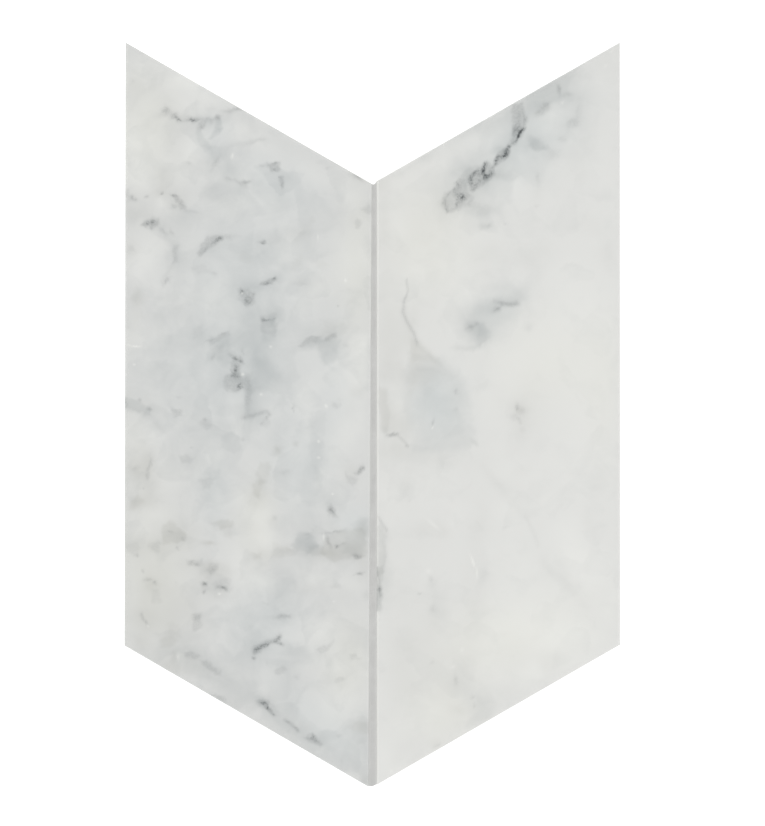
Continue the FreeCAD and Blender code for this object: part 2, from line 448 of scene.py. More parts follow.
        (1.5, 0.14, [(-69.2, -63.5), (-67, -60.8), (-63.2, -61.3), (-64, -63.7), (-67, -65.2)]),
        (1.8, 0.12, [(-65.4, -69), (-63, -66.6), (-58.6, -66.8), (-58, -71), (-61, -72.6),
                     (-65, -71.2)]),
        (1.8, 0.08, [(-91.2, -71.4), (-87.4, -71), (-86.2, -76), (-90.6, -76.2)]),
        (1.5, 0.1, [(-42, -83.8), (-33.4, -83.2), (-33.8, -81), (-37.4, -80.6)]),
        (1.6, 0.15, [(-74, -81.4), (-71, -80.8), (-70.3, -87), (-73.6, -87.8)]),
        (1.5, 0.13, [(-24.2, -97), (-21, -94), (-16.3, -91.8), (-18, -94.7), (-22, -97.8)]),
        (1.6, 0.21, [(-49.2, -95), (-45, -93.2), (-42.2, -92.4), (-43, -94.8), (-46, -97.8),
                     (-48.8, -97.8)]),
        (1.5, 0.18, [(-77.8, -97), (-74, -96), (-70.6, -98), (-74, -99.4), (-77, -98.4)]),
        (1.5, 0.13, [(-10.2, -97.4), (-8, -97.2), (-5.8, -99.5), (-9.6, -100)]),
        (1.6, 0.18, [(-71.4, -99.8), (-68.4, -99.8), (-62.2, -104), (-62.8, -106.2), (-66, -104.8)]),
        (1.6, 0.15, [(-40.2, -103.8), (-37, -101.5), (-35.4, -103.7), (-37, -105.4), (-40, -105)]),
        (1.4, 0.13, [(-15.8, -108.6), (-12.4, -107), (-11.6, -108), (-14, -109.5)]),
        (1.5, 0.19, [(-66.4, -114), (-61, -115), (-60.6, -118), (-65, -116)]),
        (1.5, 0.2, [(-48.4, -117), (-44, -116.2), (-42.2, -118), (-43.4, -121.2), (-45.6, -120),
                    (-47.6, -118.8)]),
        (1.8, 0.07, [(-42, -117), (-39.8, -119), (-39.2, -123.4), (-42.4, -121)]),
        (1.5, 0.2, [(-28.8, -131.5), (-25, -130.4), (-20.8, -134), (-22.5, -135.6), (-26, -133.4)]),
    ],
    cool=[
        # grey-blue clouds, upper third
        (-70, 122, 8, 2, 0, 0.04), (-67, 121, 4, 2.4, 10, 0.07), (-45, 112, 3, 3, 0, 0.05),
        (-66, 110, 3.6, 6, 12, 0.04), (-60, 107.5, 4, 3, 0, 0.07), (-58, 102, 9, 5, 0, 0.1),
        (-37, 98, 3, 4, 0, 0.06), (-47, 93, 15, 8, 0, 0.11), (-66, 92, 5, 5, 0, 0.07),
        (-35, 87, 9, 6, 0, 0.09), (-62, 82, 12, 6, 0, 0.03), (-75, 82, 4, 4, 0, 0.08),
        (-80, 82, 4, 5, 0, 0.06), (-90, 80, 5, 3, 15, 0.1), (-87.5, 77, 5, 3, 10, 0.14),
        (-40, 75, 8, 3.4, 20, 0.1), (-85.4, 73, 2.6, 4, 30, 0.13), (-66, 69, 6, 5, 38, 0.1),
        (-48, 67, 15, 7, 0, 0.11), (-81, 66, 3, 8, 0, 0.07), (-82, 66, 3, 10, 0, 0.07),
        (-77, 63, 5, 9, 0, 0.08), (-39, 55, 5, 4, 0, 0.06), (-52.6, 52.4, 4, 2.4, 0, 0.07),
        (-47, 52, 6, 3.4, 0, 0.1), (-52, 50, 13, 11, 0, 0.07),
        # middle third
        (-97, 48, 3, 3, 0, 0.06), (-32, 46, 8, 12, 0, 0.03), (-81, 46, 6, 9, 0, 0.06),
        (-87, 46, 3, 7, 0, 0.03), (-70, 44, 12, 8, 0, 0.03), (-40, 42, 4, 4, 0, 0.06),
        (-10, 42, 4, 9, -30, 0.1), (-85, 42, 6, 5, 0, 0.05), (-41, 40, 4, 4, 0, 0.1),
        (-41, 38, 3, 3, 0, 0.06), (-40, 38, 3, 3, 0, 0.04), (-47, 37, 8, 9, 0, 0.13),
        (-71, 35, 4, 5, 0, 0.08), (-25, 31, 5, 3, 20, 0.08), (-23, 30, 8, 4, 12, 0.11),
        (-60, 29, 14, 8, 0, 0.11), (-43, 28, 5, 5, 0, 0.07), (-18, 26, 4, 6, 0, 0.1),
        (-82, 24, 10, 9, 0, 0.1), (-49, 24, 3.5, 6, 0, 0.12), (-18, 23, 3, 3, 0, 0.06),
        (-57.5, 23, 2, 3, 0, 0.05), (-60.6, 22, 2.6, 2.6, 0, 0.1), (-61, 22, 3, 4, 0, 0.04),
        (-97, 20, 5, 12, 0, 0.04), (-44, 18, 4.5, 6, 0, 0.08), (-56, 16, 5, 6, 0, 0.12),
        (-53.4, 14, 4, 4, 0, 0.1), (-84, 13, 9, 7, 0, 0.05), (-87, 13, 4, 5, 0, 0.05),
        (-62, 13, 2, 3, 0, 0.05), (-70, 10, 16, 10, 0, 0.07), (-34, 10, 9, 10, 0, 0.05),
        (-49.6, 10, 3, 6, 0, 0.2), (-64, 1, 4, 7, 0, 0.07), (-50, 0, 5, 4, 0, 0.1),
        (-55, -4, 13, 7, 0, 0.07), (-37, -5, 5, 5, 0, 0.06), (-80, -6, 12, 7, -20, 0.07),
        (-24, -12, 3, 14, 0, 0.02), (-38, -14, 4, 5, 0, 0.06), (-72, -20, 9, 7, 0, 0.07),
        (-39, -24, 5, 3.6, 0, 0.08), (-45, -24, 5, 4, 0, 0.06), (-43, -25, 3, 7, 0, 0.03),
        (-68, -30, 7, 12, 0, 0.07), (-96, -30, 5, 7, 0, 0.05), (-14, -33, 6, 9, 0, 0.02),
        (-16, -35, 4.5, 6, 0, 0.09), (-26, -40, 5, 4, 0, 0.04), (-36, -44, 5, 4, 0, 0.06),
        (-26, -44, 4, 5, 0, 0.06), (-66, -45, 6, 8, 0, 0.05), (-18, -45, 4, 3.6, 0, 0.09),
        (-4, -46, 3, 5, 0, 0.1), (-78, -50, 5, 5, 0, 0.05),
        # lower third
        (-29, -52, 4.5, 5.5, 0, 0.16), (-21, -64, 10, 3, 0, 0.04), (-66, -68, 5, 5, 0, 0.06),
        (-38, -74, 8, 10, 0, 0.07), (-53, -83, 9, 10, 0, 0.1), (-47, -88, 4, 3, 0, 0.07),
        (-55, -90, 6, 4, 0, 0.06), (-47, -94, 7, 4, 25, 0.1), (-78, -97, 8, 4, -30, 0.06),
        (-31, -97, 6, 5, 0, 0.08), (-55, -98, 8, 6, 0, 0.08), (-27, -98, 7, 4, 0, 0.07),
        (-40, -101, 5, 4, 0, 0.08), (-69, -102, 7, 4, -30, 0.1), (-78, -103, 9, 4, -30, 0.1),
        (-62, -104, 6, 2.4, -30, 0.07), (-70, -107, 4, 2.6, -30, 0.07), (-64, -108, 8, 3, -30, 0.08),
        (-50, -112, 10, 6, -20, 0.02), (-33, -113, 4.5, 14, 0, 0.06), (-51, -117, 3, 2.6, -30, 0.03),
        (-46, -118, 3, 2, -30, 0.06), (-43, -119, 5, 4, -30, 0.1), (-3, -124, 2.4, 3, 0, 0.07),
        (-34, -127, 9, 4, -30, 0.1), (-20, -131, 5, 3, -20, 0.09), (-5, -132, 5, 9, 0, 0.07),
        (-21, -134, 4, 2.2, -30, 0.08), (-3, -137, 2.4, 6, 0, 0.08), (-20, -138, 11, 4, -30, 0.1),
        (-6, -141, 5, 9, 0, 0.06), (-3, -148, 3, 3, 0, 0.1),
    ],
    coolPanes=[
        # clouds with a firm edge, from the top down
        (1.4, 0.12, [(-64.6, 121.8), (-62.3, 121.8), (-62.1, 117), (-64.4, 116.2)]),
        (1.4, 0.12, [(-64.4, 117.6), (-62.1, 117), (-65.5, 113.2), (-67.4, 114)]),
        (1.6, 0.1, [(-72.4, 115.5), (-70.4, 117.2), (-66.8, 112), (-66, 108.8), (-71, 109.4)]),
        (1.8, 0.065, [(-71, 110), (-66, 111), (-62, 110), (-61.8, 105.4), (-65, 104.8), (-68, 106.8)]),
        (2, 0.06, [(-46, 40), (-39, 40), (-40, 31), (-45, 30)]),
        (2, 0.07, [(-67, 33), (-58, 33), (-58, 24), (-68, 22)]),
        (2, 0.08, [(-24, 31), (-14, 31), (-15, 22), (-20, 20)]),
        (4, 0.09, [(-49, 24), (-43, 23), (-37, 18), (-39, 10), (-49, 9)]),
        (1.5, 0.13, [(-103, 7.5), (-97, 6.5), (-91, 2.5), (-91, -0.5), (-103, 3.5)]),
        (1.6, 0.08, [(-62.2, -8), (-58, -6.3), (-54.3, -8), (-53.8, -13), (-57, -15.8), (-62, -13.2)]),
        (1.8, 0.05, [(-26.4, 1), (-19, 2.5), (-20.4, -14), (-22, -30), (-25.5, -20), (-26.8, -8)]),
        (1.8, 0.05, [(-68.4, -23), (-63, -22.3), (-62.6, -26), (-67, -26.4)]),
        (2.4, 0.035, [(-29.6, -25), (-25, -17), (-22.6, -24), (-22.6, -37), (-29, -37.4),
                      (-30.4, -31)]),
        (1.6, 0.05, [(-9, -44), (-1.6, -41.4), (-1.6, -47.4), (-8, -47.6)]),
        (1.8, 0.12, [(-33.6, -52), (-30.6, -48.4), (-27, -46.9), (-24.6, -49), (-23, -54), (-27, -56.8),
                     (-32.4, -54.4)]),
        (1.8, 0.06, [(-11.5, -48.6), (-4, -46.6), (-2.6, -51), (-4.6, -57), (-12, -56.4)]),
        (1.8, 0.09, [(-25.5, -52), (-20.6, -53.4), (-19.6, -57), (-23.4, -58.6), (-27, -56.4)]),
        (2.5, 0.045, [(-40.5, -66), (-34, -66), (-29, -72), (-29, -82), (-36, -88), (-41, -80)]),
        (2, 0.05, [(-51, -86), (-46, -88), (-46.6, -95), (-51, -94)]),
        (3, 0.05, [(-72, -106), (-50, -108), (-45, -116), (-50, -123), (-72, -113)]),
        (3, 0.03, [(-36.5, -100), (-29, -100), (-29, -130), (-36.5, -128)]),
    ],
    olive=[
        # brownish stains, upper third
        (-97, 137, 4, 7, 0, 0.05), (-85, 97, 4, 5, 0, 0.08), (-4, 97, 3, 1.6, -30, 0.08),
        (-87, 91, 3, 2.6, 0, 0.09), (-80, 88, 4, 4, 0, 0.08), (-4, 84, 3, 3, 0, 0.06),
        (-97, 82, 6, 5, 0, 0.07), (-8, 80, 3, 3, 0, 0.05), (-30, 74, 6, 3, 20, 0.05),
        (-98, 68, 3, 4, 0, 0.07), (-30, 54, 4, 1, 0, 0.06),
        # middle third
        (-97, 48, 3.4, 3, 0, 0.12), (-97, 44, 3, 8, 0, 0.03), (-98, 38, 4, 10, 0, 0.06),
        (-20, 34, 5, 5, 0, 0.05), (-19, 15, 3, 3, 0, 0.03), (-6, 9, 3.5, 3, 0, 0.06),
        (-14.5, 5, 1.6, 1.6, 0, 0.05), (-93, 4, 9, 4, -15, 0.06), (-32, -11.5, 1.4, 1.4, 0, 0.12),
        (-39.8, -14, 2, 1.8, 0, 0.16), (-93, -20, 3.5, 6, 0, 0.12), (-98, -22, 3, 4, 0, 0.07),
        (-8, -24, 4, 4, 50, 0.08), (-92, -28, 6, 6, 0, 0.07), (-48.5, -32, 5, 5, 0, 0.08),
        (-46, -33, 5, 6, 0, 0.07), (-91, -35, 7, 5, 0, 0.07), (-97, -36, 4, 3.5, 20, 0.1),
        (-41, -43, 2, 3, 0, 0.05), (-61, -45, 4, 2.4, 5, 0.06), (-4, -46, 3, 4, 0, 0.09),
        (-12, -47, 8, 2.4, 0, 0.06), (-81, -47.6, 5, 4, 0, 0.04), (-74, -48, 8, 6, 0, 0.02),
        # lower third
        (-76, -51, 5, 4, 0, 0.05), (-67, -52, 2.6, 0.9, 0, 0.2), (-92, -53, 11, 4, 0, 0.07),
        (-8, -54, 6, 4, 0, 0.08), (-36, -55.5, 5, 2.2, 0, 0.1), (-15, -56.5, 6, 3.6, 0, 0.06),
        (-23, -56.5, 6, 2.5, 0, 0.1), (-18, -57, 5, 3, 0, 0.06), (-45, -57, 4, 3, 0, 0.06),
        (-74, -60, 5, 2, 0, 0.07), (-4, -60, 3, 6, 0, 0.08), (-66, -62, 4, 2.4, 20, 0.09),
        (-68, -63, 5, 3, 0, 0.06), (-61, -64, 4, 3.6, 0, 0.1), (-69, -66, 4, 4, 0, 0.06),
        (-22, -70, 9, 4, 0, 0.04), (-91, -70, 3, 4, 0, 0.1), (-27, -71, 4, 3, 0, 0.04),
        (-64, -72, 4, 3, 0, 0.06), (-88, -75, 14, 20, 0, 0.06), (-77, -80, 9, 9, 0, 0.05),
        (-93, -84, 6, 6, 0, 0.08), (-83, -90, 5, 4, 0, 0.03), (-95, -92, 5, 2, -30, 0.06),
        (-81.6, -99.6, 1.2, 2.4, 0, 0.1), (-75, -102, 8, 3, -30, 0.06), (-82, -104, 6, 2.4, -30, 0.13),
        (-13, -107, 4, 5, 0, 0.05), (-4, -127, 5, 2.5, 0, 0.06), (-3, -149, 3, 2, -30, 0.08),
    ],
    olivePanes=[
        # stains with a firm edge, from the top down
        (1.6, 0.05, [(-26.2, 82.3), (-24.3, 82), (-24.3, 78.8), (-26, 78.3)]),
        (1.8, 0.05, [(-56.3, 66.2), (-52, 67.2), (-48.8, 63), (-53, 62.2)]),
        (1.8, 0.05, [(-34.2, 60), (-31, 65.8), (-28.8, 66), (-29, 62), (-32, 59.3)]),
        (1.8, 0.05, [(-24.3, 63.7), (-21, 63.2), (-18.2, 61), (-22, 60.3)]),
        (2.5, 0.05, [(-20.5, 40), (-12, 38.4), (-10.8, 34), (-16, 31), (-20.5, 34)]),
        (1.8, 0.1, [(-46, -19.3), (-42.2, -20), (-43.4, -27), (-47, -28.2), (-48.2, -24)]),
        (1.8, 0.1, [(-48.2, -26), (-44.4, -27), (-47, -33.6), (-50, -32.2), (-50.2, -28)]),
        (1.8, 0.07, [(-99.8, -36), (-96, -32.8), (-93.2, -35), (-97, -38.8), (-99.8, -38.2)]),
        (1.6, 0.12, [(-66.2, -44), (-63, -42.8), (-57.3, -43.3), (-56.8, -45), (-62, -46.8)]),
        (1.6, 0.06, [(-62.2, -46), (-57.3, -44.8), (-57.2, -50.2), (-60.6, -49.6)]),
        (1.6, 0.12, [(-86.2, -44), (-83, -43.2), (-76.3, -48), (-76.8, -51), (-80, -52.8),
                     (-86.2, -52.8)]),
        (1.8, 0.11, [(-21, -50), (-14, -46.6), (-2.5, -47), (-2.5, -58), (-16, -60.4), (-21.6, -57)]),
        (1.6, 0.06, [(-41.5, -52), (-39, -52), (-32, -55.5), (-32, -57.5), (-41.5, -57.5)]),
        (1.5, 0.08, [(-50.2, -56.8), (-46, -56.2), (-45.8, -58.7), (-48.5, -59.3)]),
        (1.8, 0.05, [(-84.2, -84.8), (-79, -85.8), (-77.6, -90.6), (-83, -90.2)]),
        (1.8, 0.09, [(-87.2, -92), (-83, -89.8), (-79.6, -91), (-82.3, -94.8), (-87.2, -94.8)]),
        (1.8, 0.08, [(-11.2, -128), (-7, -125.3), (0, -124.3), (0, -130.2), (-8, -129.8)]),
    ],
    pale=[
        # white clouds, upper third
        (-95, 142, 6, 4, -20, 0.2), (-97, 142, 5, 5, 0, 0.12), (-78, 139, 9, 5, -30, 0.4),
        (-83, 135, 4, 4, 0, 0.13), (-69, 131, 9, 3, -30, 0.25), (-79, 129, 5, 5, 0, 0.18),
        (-95, 128, 7, 9, 0, 0.12), (-72, 126, 6, 3.5, -20, 0.25), (-75, 123.6, 2.4, 2, 0, 0.15),
        (-51, 119, 5, 3, -30, 0.14), (-55, 117, 8, 3.5, -20, 0.2), (-68, 115, 3.5, 5, 0, 0.25),
        (-99, 113, 4.5, 8, 0, 0.3), (-92, 112, 8, 12, 0, 0.24), (-54, 112, 4, 3, 0, 0.12),
        (-45, 111, 7, 3, -30, 0.15), (-74, 108, 4.5, 8, 0, 0.34), (-85, 104, 8, 4, 0, 0.1),
        (-63, 104, 4, 3, 0, 0.1), (-64, 103, 5, 2.6, 0, 0.1), (-96, 103, 6, 4, 0, 0.14),
        (-40, 102, 3, 3, 0, 0.1), (-24, 99, 10, 4, -30, 0.15), (-97, 98, 5, 5, 0, 0.15),
        (-63, 98, 8, 2.4, 0, 0.1), (-94, 97, 7, 5, 0, 0.2), (-78, 97, 5, 4, 0, 0.15),
        (-52, 97, 9, 3.6, 0, 0.12), (-12, 92, 3, 6, 0, 0.12), (-53.5, 91, 3, 3, 0, 0.17),
        (-13, 91, 3, 5, 0, 0.1), (-41, 90, 4, 5, 0, 0.13), (-8, 88, 4, 6, 0, 0.13),
        (-86.5, 87, 2.6, 2.6, 0, 0.25), (-53, 87, 8, 3.6, 0, 0.24), (-80, 87, 3, 2.6, 0, 0.05),
        (-40, 87, 4, 5, 0, 0.14), (-62, 84, 5, 4, 0, 0.14), (-5, 83, 3, 3, 0, 0.14),
        (-63, 73, 2, 3, 0, 0.12), (-93, 66, 8, 9, 0, 0.33), (-35, 66, 5.5, 5.5, 0, 0.24),
        (-3, 66, 2.4, 5, 0, 0.16), (-10, 62, 9, 14, 0, 0.22), (-36, 61, 5, 4, 0, 0.13),
        (-22, 60, 6, 6, 0, 0.1), (-97, 58, 4.5, 4, 0, 0.2), (-62, 53, 4, 3, 0, 0.1),
        (-21, 53, 5, 4, 0, 0.22), (-21, 53, 3.4, 3, 0, 0.12), (-94, 52, 6, 3.4, 0, 0.15),
        (-75, 50, 4, 4, 0, 0.1), (-24, 50, 6, 3, 0, 0.16), (-66, 50, 5, 8, 0, 0.08),
        # middle third
        (-65, 48, 7, 6, 0, 0.2), (-57, 46, 3.4, 4, 0, 0.1), (-29, 45, 4, 5, 0, 0.16),
        (-57, 41, 4, 5, 0, 0.12), (-97, 34, 5, 8, 0, 0.2), (-87, 34, 4, 6, 0, 0.13),
        (-17, 30, 2.6, 2.6, 0, 0.13), (-3, 28, 2.4, 6, 0, 0.14), (-86, 28, 4, 4, 0, 0.12),
        (-3, 24, 3, 8, 0, 0.2), (-7, 22, 5, 12, 0, 0.36), (-14, 22, 4, 3, 0, 0.12),
        (-91, 21, 3, 3, 0, 0.12), (-16, 16, 2.4, 4, 0, 0.12), (-20, 15, 4, 4, 0, 0.14),
        (-3, 15, 3, 8, 0, 0.18), (-40, 14, 3, 4, 0, 0.14), (-13, 12, 6, 12, 0, 0.13),
        (-5, 10, 3, 9, 0, 0.08), (-28, 9, 5, 5, 0, 0.24), (-25, 6, 3, 6, 0, 0.12),
        (-27, 2, 3, 5, 0, 0.17), (-87, 1, 4, 4, 0, 0.1), (-4, -2, 3, 5, 0, 0.14),
        (-80, -4, 4, 3, 0, 0.17), (-28, -6, 3, 4, 0, 0.15), (-94, -8, 9, 5, 0, 0.25),
        (-10, -8, 6, 10, 0, 0.22), (-66, -12, 4, 4, 0, 0.08), (-30, -16, 3.5, 4, 0, 0.14),
        (-65, -16, 4, 5, 0, 0.15), (-16, -16, 5, 3.4, 0, 0.22), (-87, -17, 4, 4, 0, 0.1),
        (-65, -17, 3, 3, 0, 0.12), (-88, -22, 6, 4, 0, 0.12), (-67, -24, 8, 7, 0, 0.14),
        (-22.4, -24, 2, 3, 0, 0.1), (-80, -25, 4, 4, 0, 0.14), (-20, -25, 2.4, 4, 0, 0.14),
        (-21.6, -25, 2, 4, 0, 0.15), (-13, -28, 5, 7, 0, 0.18), (-96, -29, 4, 4, 0, 0.08),
        (-86, -30, 5, 10, 0, 0.2), (-33, -32, 3, 3, 0, 0.1), (-56, -33, 4, 5, 0, 0.14),
        (-63.6, -34, 3.4, 3, 0, 0.15), (-93, -34, 4, 3, 0, 0.08), (-47, -38, 6, 10, 0, 0.34),
        (-91, -41, 8, 4, 0, 0.22), (-36, -43, 3, 3, 0, 0.13), (-95, -48, 5, 4, 0, 0.16),
        # lower third
        (-44, -52, 4.5, 5, 0, 0.25), (-55, -60, 8, 8, -45, 0.26), (-33, -61, 6, 3.6, 0, 0.08),
        (-28, -64, 4, 3, 0, 0.19), (-20, -67, 7, 4, 0, 0.24), (-80, -68, 4, 4, 0, 0.08),
        (-48, -68, 7, 3, 0, 0.22), (-9, -69, 6, 3, 0, 0.15), (-98, -70, 3, 10, 0, 0.1),
        (-46, -70, 6, 3, 0, 0.16), (-51, -70, 5, 6, 0, 0.1), (-55, -78, 9, 4, 0, 0.14),
        (-60, -82, 4, 5, 0, 0.06), (-25, -84, 4, 4, 0, 0.14), (-51, -85, 4, 5, 0, 0.08),
        (-20, -87, 10, 5.5, 25, 0.32), (-68, -90, 5, 6, 0, 0.1), (-11, -98, 8, 4, 0, 0.16),
        (-15, -103, 4, 4, 0, 0.16), (-3, -103, 3, 5, 0, 0.2), (-75, -103, 5, 2, -30, 0.08),
        (-42, -105, 5, 3, 0, 0.12), (-57, -107, 5, 2.6, -30, 0.12), (-45, -112, 3, 3, -45, 0.1),
        (-14, -115, 9, 12, 0, 0.35), (-46, -115, 5, 2, -50, 0.1), (-35, -123, 3, 4, 0, 0.15),
        (-36, -127, 3, 3, 0, 0.1), (-8, -138, 3, 4, 0, 0.15),
        # along a sawn end
        (-40, 117.4, 45, 1.2, -30, 0.12),
    ],
    specks=[
        # bright dots and short scratches
        (-97, 28.5, 1.8, 0.3, 5, 0.8), (-99.8, 28.8, 0.4, 0.4, 0, 0.7), (-98, 20.6, 0.5, 0.4, 0, 0.6),
        (-42, 28.5, 0.5, 0.5, 0, 0.6), (-53.6, 17, 0.6, 0.5, 0, 0.7), (-45.7, 8.6, 0.5, 0.5, 0, 0.6),
        (-19, 3.7, 0.5, 0.5, 0, 0.7), (-22.3, -10.5, 0.5, 0.5, 0, 0.7),
        (-22.2, -16.8, 0.6, 0.4, 0, 0.7), (-11.2, 55.4, 0.4, 0.7, 0, 0.8), (-22.5, 73, 0.3, 1, 0, 0.4),
        (-57.6, 106.5, 0.4, 0.9, -20, 0.6), (-17, -32, 0.5, 0.4, 0, 0.7), (-63, -73, 0.5, 0.4, 0, 0.7),
        (-92.3, -85.4, 0.4, 0.8, 0, 0.5), (-16, -76.5, 0.5, 0.4, 0, 0.4),
        (-53.7, 49.8, 0.3, 0.4, 0, 0.7), (-98, 89.5, 0.3, 0.5, 0, 0.4),
        (-20.8, -49.6, 0.35, 1.5, 0, 0.45), (-79.4, -98.8, 0.5, 1.2, 0, 0.35),
    ],
    straw=[
        # broad warm tints
        (-93, 118, 14, 24, 0, 0.14), (-98, -15, 6, 20, 0, 0.07), (-90, -66, 15, 26, 0, 0.14),
        (-6, 60, 8, 30, 0, 0.13), (-48, -44, 8, 16, 0, 0.13), (-10, -100, 10, 18, 0, 0.12),
    ],
    steel=[
        # broad cold tints
        (-52, 62, 28, 28, 0, 0.08), (-57, 15, 34, 27, 0, 0.09), (-40, 96, 20, 12, -30, 0.07),
        (-30, -22, 13, 20, 0, 0.08), (-44, -86, 17, 17, 0, 0.09), (-24, -122, 18, 10, -30, 0.08),
        (-8, -44, 8, 9, 0, 0.09), (-65, 116, 7, 10, 0, 0.07), (-65, -32, 8, 15, 0, 0.08),
        (-16, 10, 6, 26, 0, 0.05), (-12, -136, 12, 8, -30, 0.06),
    ],
)

